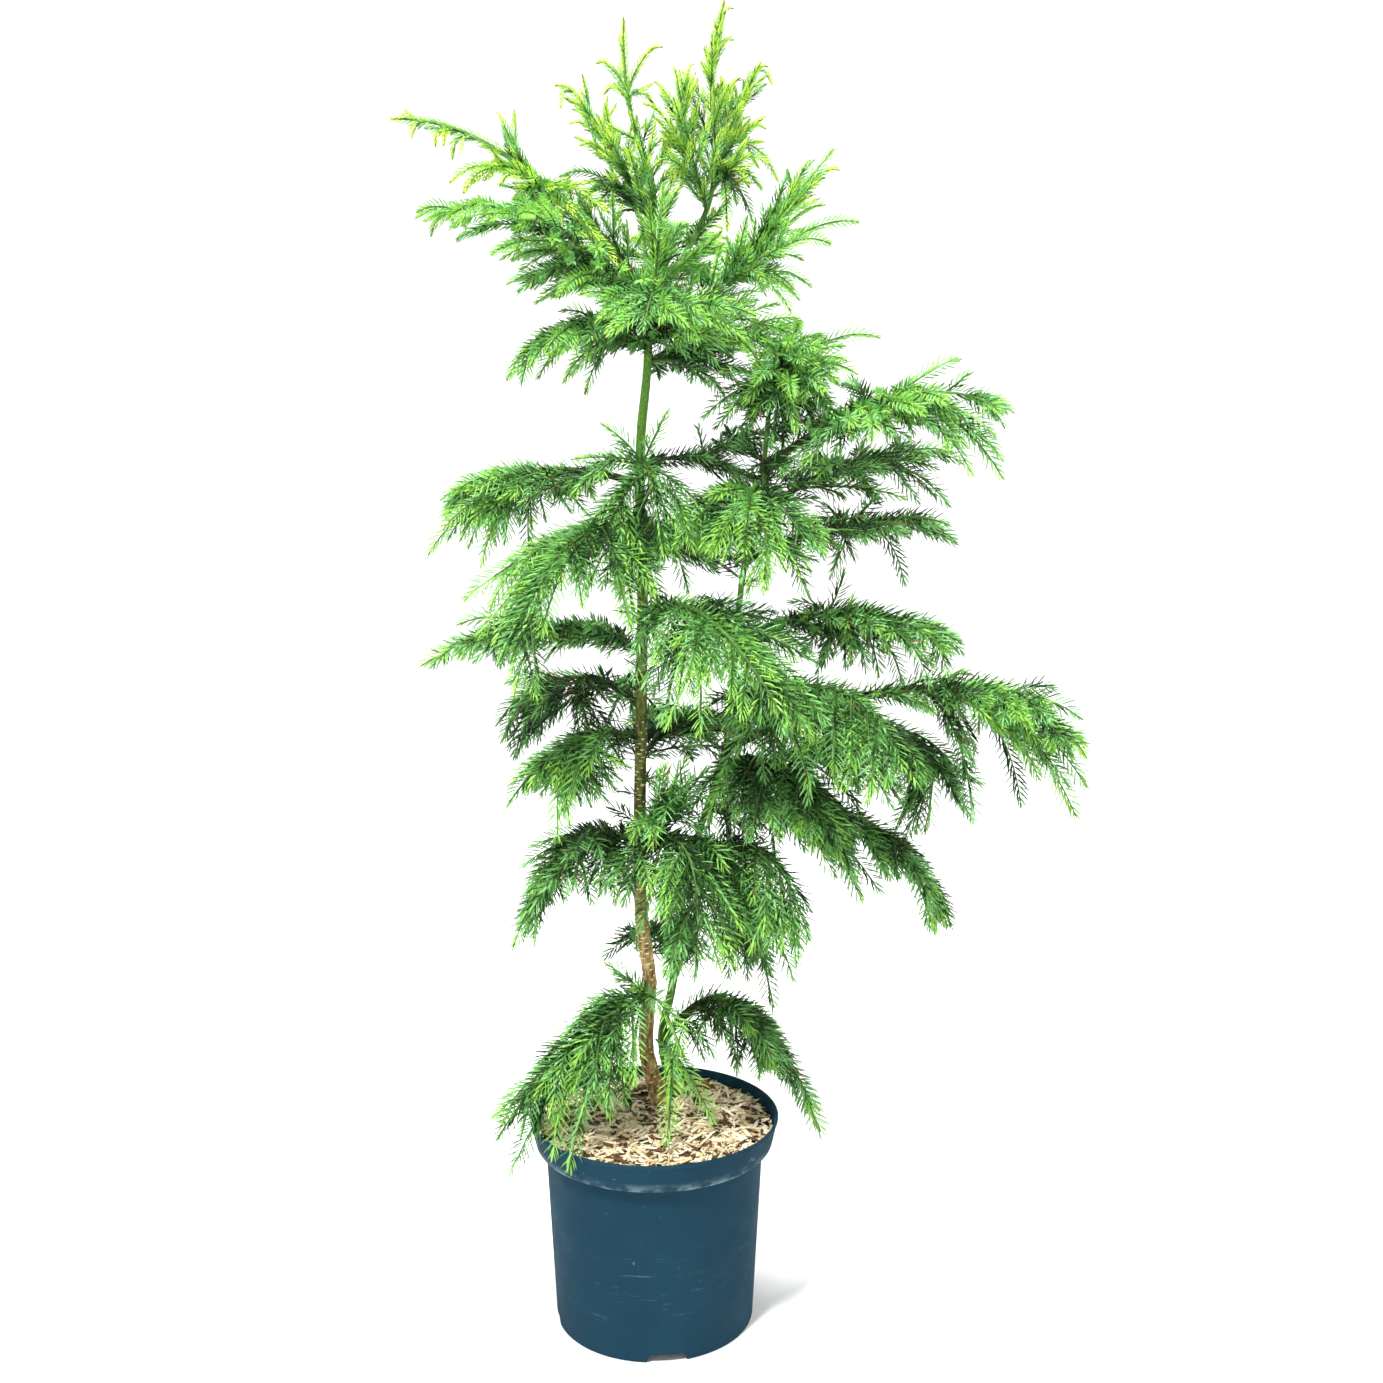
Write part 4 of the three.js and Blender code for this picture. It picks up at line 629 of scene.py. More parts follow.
def bough_radius(curve, shares):
    thick = BOUGH_RADIUS["least"] + BOUGH_RADIUS["per_length"] * curve.length
    return thick * (1 - (1 - BOUGH_RADIUS["left"]) * shares)


# Room

def in_sky(points):
    """Whether any of the points, in millimetres, is seen against one of the ovals of sky."""
    pitch = math.radians(CAMERA_PITCH)
    way = points * MM - CAMERA_PLACE
    depth = way[:, 1] * math.cos(pitch) + way[:, 2] * math.sin(pitch)
    rise = way[:, 2] * math.cos(pitch) - way[:, 1] * math.sin(pitch)
    across = PHOTO_SIDE / 2 + FOCAL_PIXELS * way[:, 0] / depth
    down = PHOTO_SIDE / 2 - FOCAL_PIXELS * rise / depth
    u, v, wide, high = OVALS.T
    return (((across[:, None] - u) / wide) ** 2 + ((down[:, None] - v) / high) ** 2 < 1).any()


def leaves_the_crown(points):
    return (points < CROWN_LOW).any() or (points > CROWN_HIGH).any()


def in_the_way(points):
    """Which of the points lie in the pot, in the soil or at the floor."""
    radius = np.hypot(points[:, 0], points[:, 1])
    height = points[:, 2]
    inside_pot = (radius < RIM_RADIUS + POT_CLEAR) & (height < POT_HEIGHT + POT_CLEAR)
    over_soil = (radius < RIM_RADIUS - RIM_CLEAR) & (height > SOIL_LEVEL + POT_CLEAR)
    return (inside_pot & ~over_soil) | (height < FLOOR_CLEAR)


def has_room(curve):
    points = curve.points(LOOKED_AT)
    return not (in_the_way(points).any() or leaves_the_crown(points) or in_sky(points[SKY_FROM:]))


# The plant's growth

class Twig(NamedTuple):
    """One leafy twig: its curve, where along it the needles start, its radii, its order and its shade."""

    curve: Curve
    start: float
    radii: tuple
    order: int
    shade: float

    def radius_at(self, shares):
        return np.interp(shares, (self.start, 1), self.radii)


def side_twig(curve, share, turn, spread, reach, weep, nod):
    root = curve.points(share)
    tangent = curve.tangents(share)
    level = np.array([tangent[1], -tangent[0], 0.0])
    if np.linalg.norm(level) < UPRIGHT_STEM:
        level = np.array([1.0, 0.0, 0.0])
    level = unit(level - level.dot(tangent) * tangent)
    out = level * math.cos(turn) + np.cross(level, tangent) * math.sin(turn)
    heading = tangent * math.cos(spread) + out * math.sin(spread)
    tip = root + heading * reach
    tip[2] -= weep * reach
    return Arc(root, root + heading * reach / 2, tip, nod)


def twig_with_room(curve, share, turn, spread, reach, weep, nod=0):
    """The side twig, shorter where there is little room, in a list that is empty where there is none."""
    for part in REACHES_TRIED:
        twig = side_twig(curve, share, turn, spread, part * reach, weep, part * nod)
        if part * reach > LEAST_REACH and has_room(twig):
            return [twig]
    return []


def drawn_row(count, habit, play, draw):
    """The place of each twig in a row of them, its turn, and the factors of its spread and of its reach."""
    least, more = play["place"]
    for k in range(count):
        place = k + least + more * draw()
        wobble = math.radians(play["turn"]) * (draw() - 0.5)
        turn = (k % 2) * math.pi if habit["two_ranked"] else math.radians(GOLDEN_TURN) * k
        yield place, turn + wobble, drawn(draw, *play["spread"]), drawn(draw, *play["reach"])


def side_twigs(curve, start, habit, draw, spacing, nod):
    count = round(curve.length * (1 - start) / spacing)
    twigs = []
    for place, turn, wider, longer in drawn_row(count, habit, SIDE_PLAY, draw):
        along = place / count
        spread = math.radians(habit["spread"]) * wider
        reach = habit["reach"] * (1 - SIDE_SHORTER * along) * longer
        share = start + (1 - start) * habit["branched"] * along
        twigs += twig_with_room(curve, share, turn, spread, reach, habit["weep"], nod)
    return twigs


def fine_twigs(curve, start, habit, draw):
    """The finer twigs that a twig carries, none longer than what is left of it."""
    fine = habit["fine"]
    leafy = fine["branched"] - start
    count = round(curve.length * leafy / fine["spacing"])
    twigs = []
    for place, turn, wider, longer in drawn_row(count, habit, FINE_PLAY, draw):
        share = start + leafy * place / count
        spread = math.radians(fine["spread"]) * wider
        reach = min(fine["reach"], FINE_LONGEST * (1 - share) * curve.length) * longer
        twigs += twig_with_room(curve, share, turn, spread, reach, fine["weep"])
    return twigs


def fork_twig(curve, share, end, habit, nod):
    root = curve.points(share)
    way = np.asarray(end, float) - root
    length = np.linalg.norm(way)
    lead = FORK_LEAD["flat" if habit["two_ranked"] else "round"]
    pull = root + curve.tangents(share) * lead * length / 2 + way * (1 - lead) / 2
    if habit["two_ranked"]:
        pull[2] += FORK_RISE * length
    return Arc(root, pull, end, nod)


def shade_of_place(curve):
    """Painted shade: how dark a twig is deep inside the crown, partly for its darker old needles."""
    x, y, z = curve.points(DEPTH_AT)
    middle = np.interp(z, CROWN_AXIS["heights"], CROWN_AXIS["across"])
    radius = math.hypot(x - middle, y - CROWN_AXIS["back"])
    return np.interp(z, DEPTH_TOP, (1, 0)) * DEPTH_SHADE * (1 - radius / DEPTH_RADIUS)


def shade_in_spray(row, stem, twig):
    """Painted shade on a side twig, by its spray, by how far inside it is and by its place in the crown."""
    inner = np.linalg.norm(twig.points(INNER_AT) - stem.root) / stem.length
    dark = max(INNER_SHADE * (1 - inner / INNER_REACH), shade_of_place(twig))
    return max(row.shade, dark) if row.shade >= 0 else row.shade + LIGHT_SPRAY_DARK * max(0, dark)


def spray_forks(row, curve, leafy, habit, nod):
    return [
        fork_twig(curve, leafy + (SPRAY_STEM_END - leafy) * share, end, habit, nod)
        for share, *end in [*row.forks, *row.inner]
    ]


def grow_spray(row, order):
    """A spray's stem, its forks, its side twigs in two rows and the finer twigs that all of these carry."""
    habit, nod = HABITS[row.habit], NOD[row.habit]
    curve = spray_curve(row)
    start = row.bough + GAP / curve.length if row.bough else 0
    bare, leafy = row.bare * start, start + STEM_CLEAR / curve.length
    draw, finer = seeded(SEED + order), seeded(FINER_SEED + order)
    for _ in range(1 + len(row.forks)):
        draw()  # the solids draw these for the blades on their forks
    forks = spray_forks(row, curve, leafy, habit, FORK_NOD * nod)
    sides = side_twigs(curve, leafy, habit, draw, habit["spacing"], SIDE_NOD * nod)
    sides += side_twigs(curve, bare, habit, finer, habit["spacing"] / habit["between"], SIDE_NOD * nod)
    radii = bough_radius(curve, np.array([bare, 1])) - IN_BARK if row.bough else SPRAY_STEM_RADII
    twigs = [Twig(curve, bare, radii, 0, row.shade)]
    if row.plain:
        return twigs + [Twig(fork, 0, STRAND_RADII, 1, row.shade) for fork in forks]
    for twig in forks + sides:
        thick = SIDE_RADII["foot"] + SIDE_RADII["per_length"] * twig.length
        shade = shade_in_spray(row, curve, twig)
        twigs.append(Twig(twig, 0, (thick, SIDE_RADII["tip"]), 1, shade))
        fine = fine_twigs(twig, FINE_FROM["side"], habit, finer)
        twigs += [Twig(tip, 0, FINE_RADII, 2, shade) for tip in fine]
    return twigs


def grow_stem_twigs(row, order):
    habit = HABITS[row.habit]
    curve = STEM_CURVES[row.stem]
    draw = seeded(STEM_TWIG_SEED + order)
    count = round((row.high - row.low) / row.spacing)
    # twigs on the stems inside the crown get painted shade, those of the upright shoots at the top none
    shade = 0 if row.habit == "shoot" else STEM_SHADE
    twigs = []
    for k in range(count):
        height = row.low + (row.high - row.low) * (k + draw()) / count
        turn = math.radians(GOLDEN_TURN) * k + draw() - 0.5
        reach = np.interp(height, (row.low, row.high), row.reach) * drawn(draw, *STEM_PLAY["reach"])
        spread = math.radians(habit["spread"] + STEM_TWIG_SPREAD) * drawn(draw, *STEM_PLAY["spread"])
        for twig in twig_with_room(curve, curve.share_at_height(height), turn, spread, reach, habit["weep"]):
            twigs.append(Twig(twig, 0, STEM_TWIG_RADII, 1, shade))
            fine = fine_twigs(twig, FINE_FROM["stem"], habit, draw)
            twigs += [Twig(tip, 0, FINE_RADII, 2, shade) for tip in fine]
    return twigs


def grow_plant():
    twigs = []
    for order, row in enumerate(SPRAYS):
        twigs += grow_spray(row, order)
    for order, row in enumerate(STEM_TWIGS):
        twigs += grow_stem_twigs(row, order)
    return twigs


# Needles

def at_height(values, height):
    return np.interp(height, NEEDLE_HEIGHTS, values)


def frames_along(curve, shares):
    """Points, tangents and two square directions at each share of the curve."""
    points = curve.points(shares)
    tangents = curve.tangents(shares)
    side = np.cross(tangents, (0.0, 0.0, 1.0))
    side[np.linalg.norm(side, axis=1) < UPRIGHT_TWIG] = (1.0, 0.0, 0.0)
    side = unit(side - (side * tangents).sum(axis=1, keepdims=True) * tangents)
    return points, tangents, side, np.cross(tangents, side)


def tone_for(height, draw_many, shade):
    shares = np.array([np.interp(height, TONE_HEIGHTS, row) for row in TONE_SHARES.values()])
    # a twig's painted shade pushes its draw towards the darker tones
    darker = max(1 - draw_many.uniform() * (1 - shade), LIGHTEST)
    return int(np.searchsorted(np.cumsum(shares) / shares.sum(), darker))


def tones_along(height, along, first, last, shade, draw_many):
    """The tone of each needle: a tone lighter at its twig's tip and a tone darker at its foot."""
    lightest = 0 if height > YELLOW_FROM else 1
    tone = tone_for(height, draw_many, shade)
    tones = tone + draw_many.choice((-1, 0, 1), len(along), p=NEEDLE_TONES)
    tones = np.clip(tones, lightest, DEEP)
    # the twig's foot a tone darker: painted shade, together with its older needles
    tones[along < first + DARK_FOOT * (last - first)] = min(tone + 1, DEEP)
    tones[last - along < TIP_STRETCH] = max(tone - 1, lightest)
    tones[draw_many.uniform(size=len(along)) < BRONZE_SHARE * shade] = BRONZE
    return tones


def blades(feet, tangents, out, lean, size):
    """Bowed blades: foot, middle of the lower and of the upper width, tip and half width."""
    bow = math.radians(NEEDLE_BOW)
    leaving, ending = around(tangents, out, lean + bow), around(tangents, out, lean - bow)
    low, high = NEEDLE_SIDES
    lower = feet + leaving * low * size
    upper = lower + unit(leaving + ending) * (high - low) * size
    tips = upper + ending * (1 - high) * size
    width = NEEDLE_LEAST_WIDTH + NEEDLE_WIDTH * size
    return feet, lower, upper, tips, unit(np.cross(out, tangents)) * width / 2


def needles_of(twig, draw_many):
    """The blades and tones of a twig's needles, or nothing where it is too short to carry any."""
    curve = twig.curve
    height = curve.points(0.5)[2]
    first = twig.start * curve.length + BARE_FOOT["twig" if twig.order else "stem"]
    last = curve.length - NEEDLE_OVERHANG * at_height(NEEDLE_LENGTHS, height)
    count = int((last - first) / at_height(NEEDLE_SPACINGS, height))
    if count < LEAST_NEEDLES:
        return None
    places = np.arange(count)
    along = first + (last - first) * (places + 0.5) / count
    shares = curve.share_at(along)
    points, tangents, side, up = frames_along(curve, shares)
    turn = math.radians(NEEDLE_TURN) * places + np.radians(RANK_TWIST) * along
    turn += draw_many.uniform(0, 2 * math.pi)
    turn += np.radians(draw_many.uniform(-RANK_WOBBLE, RANK_WOBBLE, count))
    out = around(side, up, turn)
    feet = points + out * (twig.radius_at(shares) - NEEDLE_SUNK)[:, None]
    opening = np.clip((along - first) / OPENING["stretch"], 0, 1)
    closing = np.clip(1 - (last - along) / CLOSING["stretch"], 0, 1)
    size = at_height(NEEDLE_LENGTHS, feet[:, 2]) * draw_many.uniform(*NEEDLE_SIZE_PLAY, count)
    size *= (1 - OPENING["shorter"] * (1 - opening)) * (1 - CLOSING["shorter"] * closing)
    lean = np.radians(at_height(NEEDLE_LEANS, feet[:, 2])) * draw_many.uniform(*NEEDLE_LEAN_PLAY, count)
    lean *= 1 - CLOSING["closer"] * closing
    tones = tones_along(height, along, first, last, twig.shade, draw_many)
    return *blades(feet, tangents, out, lean, size[:, None]), tones


def grow_needles(twigs):
    draw_many = np.random.default_rng(SEED)
    grown = [needles_of(twig, draw_many) for twig in twigs]
    return [np.concatenate(column) for column in zip(*[rows for rows in grown if rows])]


# Meshes from arrays

def new_mesh(name, vertices, blocks, smooth):
    """A mesh from vertices in millimetres and blocks of faces, each block with one count of corners."""
    mesh = bpy.data.meshes.new(name)
    mesh.vertices.add(len(vertices))
    mesh.vertices.foreach_set("co", (np.asarray(vertices) * MM).astype(np.float32).ravel())
    corners = np.concatenate([np.asarray(block).ravel() for block in blocks]).astype(np.int32)
    counts = np.concatenate([np.full(len(block), np.asarray(block).shape[1]) for block in blocks])
    mesh.loops.add(len(corners))
    mesh.loops.foreach_set("vertex_index", corners)
    mesh.polygons.add(len(counts))
    starts = np.concatenate([[0], np.cumsum(counts)[:-1]]).astype(np.int32)
    mesh.polygons.foreach_set("loop_start", starts)
    mesh.polygons.foreach_set("use_smooth", np.full(len(counts), smooth))
    mesh.update(calc_edges=True)
    return mesh


def add_object(name, data):
    thing = bpy.data.objects.new(name, data)
    bpy.context.scene.collection.objects.link(thing)
    return thing


def add_piece(mesh, material, stands_for):
    piece = add_object(mesh.name, mesh)
    mesh.materials.append(material)
    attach(piece, "root")
    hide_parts(*stands_for)
    return piece


def nodes_called(start):
    return [node for node in NODES if node.startswith(start)]


class Shapes:
    """Gathers many small shapes into the arrays of one mesh."""

    def __init__(self):
        self.vertices, self.blocks, self.count = [], {3: [], 4: []}, 0

    def add(self, vertices, blocks):
        for block in blocks:
            block = np.asarray(block, int)
            self.blocks[block.shape[1]].append(block + self.count)
        self.vertices.append(vertices)
        self.count += len(vertices)

    def mesh(self, name, smooth=True):
        blocks = [np.concatenate(rows) for rows in self.blocks.values() if rows]
        return new_mesh(name, np.concatenate(self.vertices), blocks, smooth)


def carried_frames(curve, shares):
    """Points, tangents and two square directions along a curve, carried on without a twist."""
    points, tangents = curve.points(shares), curve.tangents(shares)
    side = np.array([1.0, 0.0, 0.0]) if abs(tangents[0][0]) < 0.9 else np.array([0.0, 1.0, 0.0])
    sides = np.empty_like(points)
    for i, tangent in enumerate(tangents):
        side = unit(side - side.dot(tangent) * tangent)
        sides[i] = side
    return points, tangents, sides, np.cross(tangents, sides)


def strip(low, high):
    """Quads between two rings of points."""
    return np.stack([low, np.roll(low, -1), np.roll(high, -1), high], axis=1)


def ring_faces(rings, sides):
    """Quads between rings of points, and the fans of triangles that close both ends on two more points."""
    grid = np.arange(rings * sides).reshape(rings, sides)
    foot, tip = np.full(sides, rings * sides), np.full(sides, rings * sides + 1)
    low = np.stack([np.roll(grid[0], -1), grid[0], foot], axis=1)
    high = np.stack([grid[-1], np.roll(grid[-1], -1), tip], axis=1)
    return np.concatenate([strip(*pair) for pair in zip(grid, grid[1:])]), np.concatenate([low, high])


def rings_round(radii, heights, segments):
    """Rings of points round the pot's axis, as an array of ring, point and coordinate."""
    angles = 2 * math.pi * np.arange(segments) / segments
    radii, heights = (np.asarray(values, float)[:, None] for values in (radii, heights))
    return np.stack(np.broadcast_arrays(radii * np.cos(angles), radii * np.sin(angles), heights), axis=2)


def spin(turn, first, second):
    """The matrix that turns from one axis towards another."""
    matrix = np.eye(3)
    matrix[first, first] = matrix[second, second] = math.cos(turn)
    matrix[first, second] = -math.sin(turn)
    matrix[second, first] = math.sin(turn)
    return matrix


def tube(curve, shares, radii, sides, relief=None):
    """A closed tube: `radii` at each share, and `relief` adding to them at each angle and distance."""
    points, tangents, side, up = carried_frames(curve, shares)
    angles = 2 * math.pi * np.arange(sides) / sides
    reach = np.asarray(radii)[:, None] * np.ones(sides)
    if relief:
        reach = reach + relief(points, angles, reach)
    wall = (
        points[:, None, :]
        + side[:, None, :] * (np.cos(angles) * reach)[..., None]
        + up[:, None, :] * (np.sin(angles) * reach)[..., None]
    )
    tip = points[-1] + tangents[-1] * radii[-1]
    return np.concatenate([wall.reshape(-1, 3), [points[0], tip]]), ring_faces(len(points), sides)


# Noise

def hashed(cells, seed):
    """A number from 0 to 1 for each cell of a grid, the same one each time."""
    mixed = np.bitwise_xor.reduce(cells * (73856093, 19349663, 83492791), axis=-1) ^ (seed * 2654435)
    mixed = (mixed ^ (mixed >> 13)) * 1274126177
    mixed = (mixed ^ (mixed >> 16)) & 0xFFFFFF
    return mixed / 0xFFFFFF


def noise(points, scale, seed):
    """Smooth noise from -1 to 1; `scale` is the size of its grain, one number or one a direction."""
    places = np.asarray(points) / scale
    cells = np.floor(places).astype(np.int64)
    part = places - cells
    part = part * part * (3 - 2 * part)
    total = np.zeros(places.shape[:-1])
    for corner in np.ndindex(2, 2, 2):
        weight = np.prod(np.where(corner, part, 1 - part), axis=-1)
        total += weight * hashed(cells + corner, seed)
    return 2 * total - 1


# Materials

def linear(red, green, blue):
    """A colour given in 0 to 255, as the shader takes it."""
    shares = [channel / 255 for channel in (red, green, blue)]
    return tuple(c / 12.92 if c <= 0.04045 else ((c + 0.055) / 1.055) ** 2.4 for c in shares)


def color_stops(*stops):
    """The stops of a ramp, each given as its place and a colour in 0 to 255."""
    return [(place, linear(*color)) for place, *color in stops]


class Finish:
    """A material with one principled shader, and short ways to add nodes to it."""

    def __init__(self, name, color, roughness, specular):
        self.material = bpy.data.materials.new(name)
        self.material.use_nodes = True
        self.material.diffuse_color = (*color, 1)
        self.nodes = self.material.node_tree.nodes
        self.links = self.material.node_tree.links
        self.shader = self.nodes["Principled BSDF"]
        self.shader.inputs["Base Color"].default_value = (*color, 1)
        self.shader.inputs["Roughness"].default_value = roughness
        self.shader.inputs["Specular IOR Level"].default_value = specular
        self.place = self.nodes.new("ShaderNodeTexCoord").outputs["Object"]

    def feed(self, value, socket):
        """Links an output to a socket, or sets a colour or a number on it."""
        if isinstance(value, bpy.types.NodeSocket):
            self.links.new(value, socket)
        else:
            socket.default_value = (*value, 1) if isinstance(value, tuple) else value

    def stretched(self, scale):
        node = self.nodes.new("ShaderNodeMapping")
        node.inputs["Scale"].default_value = scale
        self.feed(self.place, node.inputs["Vector"])
        return node.outputs["Vector"]

    def noise(self, scale, detail, stretch=None, roughness=0.55):
        node = self.nodes.new("ShaderNodeTexNoise")
        node.inputs["Scale"].default_value = scale
        node.inputs["Detail"].default_value = detail
        node.inputs["Roughness"].default_value = roughness
        self.feed(self.stretched(stretch) if stretch else self.place, node.inputs["Vector"])
        return node.outputs["Fac"]

    def ramp(self, source, *stops):
        """A ramp whose stops are each a place and a colour or one number."""
        node = self.nodes.new("ShaderNodeValToRGB")
        band = node.color_ramp.elements
        while len(band) < len(stops):
            band.new(0.5)
        for element, (place, color) in zip(band, stops):
            element.position = place
            element.color = (*color, 1) if isinstance(color, tuple) else (color, color, color, 1)
        self.feed(source, node.inputs["Fac"])
        return node.outputs["Color"]

    def mix(self, share, first, second):
        node = self.nodes.new("ShaderNodeMix")
        node.data_type = "RGBA"
        for value, socket in ((share, node.inputs[0]), (first, node.inputs[6]), (second, node.inputs[7])):
            self.feed(value, socket)
        return node.outputs[2]

    def math(self, operation, first, second):
        node = self.nodes.new("ShaderNodeMath")
        node.operation = operation
        self.feed(first, node.inputs[0])
        self.feed(second, node.inputs[1])
        return node.outputs["Value"]

    def height(self):
        node = self.nodes.new("ShaderNodeSeparateXYZ")
        self.feed(self.place, node.inputs["Vector"])
        return node.outputs["Z"]

    def color(self, source):
        self.feed(source, self.shader.inputs["Base Color"])

    def roughness(self, source):
        self.feed(source, self.shader.inputs["Roughness"])

    def bump(self, source, strength, distance):
        node = self.nodes.new("ShaderNodeBump")
        node.inputs["Strength"].default_value = strength
        node.inputs["Distance"].default_value = distance
        self.feed(source, node.inputs["Height"])
        self.feed(node.outputs["Normal"], self.shader.inputs["Normal"])


def grained(name, color, roughness, specular, grain, stops, bump=None):
    """A material whose colour follows one noise, which may also be its bump."""
    finish = Finish(name, linear(*color), roughness, specular)
    source = finish.noise(*grain)
    finish.color(finish.ramp(source, *color_stops(*stops)))
    if bump:
        finish.bump(source, *bump)
    return finish.material


def needle_material(tone):
    color = linear(*NEEDLE_COLORS[tone][0])
    finish = Finish(f"needles_{tone}", color, 0.52, 0.2)
    paler = tuple(min(1, NEEDLE_PALER * c + NEEDLE_LIFT) for c in color)
    darker = tuple(NEEDLE_DARKER * c for c in color)
    finish.color(finish.ramp(finish.noise(90, 2), (0.35, darker), (0.65, paler)))
    return finish.material


def twig_material():
    stops = (0.3, 60, 82, 38), (0.7, 92, 134, 58)
    return grained("green_twig", (76, 112, 48), 0.6, 0.3, (40, 3), stops)


def bark_material():
    """Brown, streaked bark that turns olive up the trunk and green near its top."""
    finish = Finish("bark", linear(140, 105, 72), 0.85, 0.25)
    streaks = finish.noise(260, 6, (1, 1, 0.28))
    flakes = finish.noise(620, 4, (1, 1, 0.5))
    browns = color_stops(
        (0.3, 78, 58, 34), (0.45, 138, 110, 70), (0.6, 184, 158, 108), (0.75, 216, 198, 150),
    )
    olives = color_stops((0.32, 62, 66, 30), (0.5, 104, 112, 54), (0.7, 140, 150, 84))
    greens = color_stops((0.35, 70, 114, 38), (0.65, 110, 158, 64))
    patchy = finish.math("ADD", finish.height(), finish.math("MULTIPLY", finish.noise(24, 3), 0.14))
    to_olive = finish.ramp(patchy, (0.46, 0), (0.6, 1))
    to_green = finish.ramp(patchy, (0.9, 0), (0.98, 1))
    lower = finish.mix(to_olive, finish.ramp(streaks, *browns), finish.ramp(streaks, *olives))
    finish.color(finish.mix(to_green, lower, finish.ramp(flakes, *greens)))
    finish.bump(flakes, 0.35, 0.0012)
    return finish.material


def green_bark_material():
    stops = (0.32, 48, 82, 30), (0.5, 86, 132, 54), (0.72, 128, 158, 82)
    return grained("green_bark", (84, 128, 52), 0.7, 0.35, (180, 5, (1, 1, 0.2)), stops, (0.3, 0.0008))


def bough_material():
    stops = (0.32, 24, 34, 14), (0.5, 54, 68, 30), (0.72, 98, 96, 54)
    return grained("bough_bark", (74, 78, 44), 0.8, 0.3, (220, 5), stops, (0.4, 0.001))


def scar_material():
    stops = (0.3, 214, 192, 142), (0.7, 250, 240, 200)
    return grained("leaf_scar", (206, 184, 142), 0.8, 0.3, (300, 3), stops)


def compost_material():
    stops = (0.35, 24, 18, 12), (0.6, 66, 48, 32), (0.75, 112, 86, 56)
    return grained("compost", (52, 38, 26), 0.95, 0.2, (210, 7), stops, (0.8, 0.003))


CHIP_COLORS = {
    "cream": ((255, 246, 220), (226, 206, 168)),
    "straw": ((232, 212, 170), (178, 150, 106)),
    "brown": ((110, 80, 54), (44, 32, 22)),
    "red_bark": ((128, 86, 60), (76, 48, 34)),
}


def chip_material(name):
    light, dark = CHIP_COLORS[name]
    stops = (0.3, *dark), (0.62, *light)
    return grained(f"chip_{name}", light, 0.85, 0.25, (240, 5, (1, 1, 2)), stops, (0.4, 0.0008))


class Wear(NamedTuple):
    """Wear on the pot: its noise, where in it the wear shows, its colour and its heights in metres."""

    noise: tuple
    shows: tuple
    color: tuple
    heights: tuple = ()


POT_WEAR = {
    "speckle": Wear((160, 6), ((0.66, 0), (0.78, 0.3)), (70, 98, 110)),
    "dust on the collar": Wear(
        (55, 8, (1, 1, 1.6), 0.65), ((0.45, 0.05), (0.6, 0.85)), (140, 164, 168),
        ((0.204, 0), (0.2075, 1), (0.2105, 0.45), (0.218, 0)),
    ),
    "scuffs on the collar": Wear(
        (30, 9, (1, 1, 3), 0.68), ((0.63, 0), (0.7, 0.8)), (190, 200, 196), ((0.2, 0), (0.208, 1)),
    ),
    "level scratches": Wear(
        (22, 9, (1, 1, 20), 0.72), ((0.61, 0), (0.67, 0.55)), (104, 130, 142),
        ((0.03, 0), (0.06, 1), (0.1, 1), (0.14, 0.1)),
    ),
    "drips": Wear((130, 3, (1, 1, 0.35)), ((0.74, 0), (0.79, 0.5)), (150, 168, 168)),
}


def plastic_material():
    finish = Finish("pot_plastic", linear(24, 55, 70), 0.68, 0.05)
    height = finish.height()
    surface = finish.ramp(finish.noise(7, 5), *color_stops((0.3, 22, 51, 66), (0.7, 27, 60, 76)))
    for wear in POT_WEAR.values():
        share = finish.ramp(finish.noise(*wear.noise), *wear.shows)
        if wear.heights:
            share = finish.math("MULTIPLY", finish.ramp(height, *wear.heights), share)
        surface = finish.mix(share, surface, linear(*wear.color))
    finish.color(surface)
    finish.roughness(finish.ramp(finish.noise(35, 5), (0.3, 0.6), (0.7, 0.76)))
    finish.bump(finish.noise(420, 3), 0.12, 0.0004)
    return finish.material


# Foliage pieces

def needle_mesh(name, feet, lower, upper, tips, across):
    """Slim bowed blades, each with a straight ridge from its foot to its tip on the inside of the bow."""
    end = NEEDLE_ENDING * across
    vertices = np.stack([feet, lower + across, lower - across, upper + end, upper - end, tips], axis=1)
    faces = NEEDLE_FACES[None] + vertices.shape[1] * np.arange(len(feet))[:, None, None]
    return new_mesh(name, vertices.reshape(-1, 3), [faces.reshape(-1, 3)], False)


def make_needles(twigs):
    *shapes, needle_tones = grow_needles(twigs)
    most = TRIANGLES_PER_PIECE // len(NEEDLE_FACES)
    for number, tone in enumerate(TONES):
        material = needle_material(tone)
        rows = np.flatnonzero(needle_tones == number)
        for part, first in enumerate(range(0, len(rows), most)):
            chosen = [array[rows[first:first + most]] for array in shapes]
            mesh = needle_mesh(f"needles_{tone}_{part + 1}", *chosen)
            add_piece(mesh, material, nodes_called("spray_"))


def make_twigs(twigs):
    shapes = Shapes()
    for twig in twigs:
        form = TWIG_TUBE if twig.order < 2 else FINE_TUBE
        rings = max(LEAST_RINGS, round(twig.curve.length * (1 - twig.start) / form["step"]))
        shares = np.linspace(twig.start, TWIG_END, rings)
        shapes.add(*tube(twig.curve, shares, np.linspace(*twig.radii, rings), form["sides"]))
    add_piece(shapes.mesh("leafy_twigs"), twig_material(), nodes_called("spray_"))


# Stems and boughs

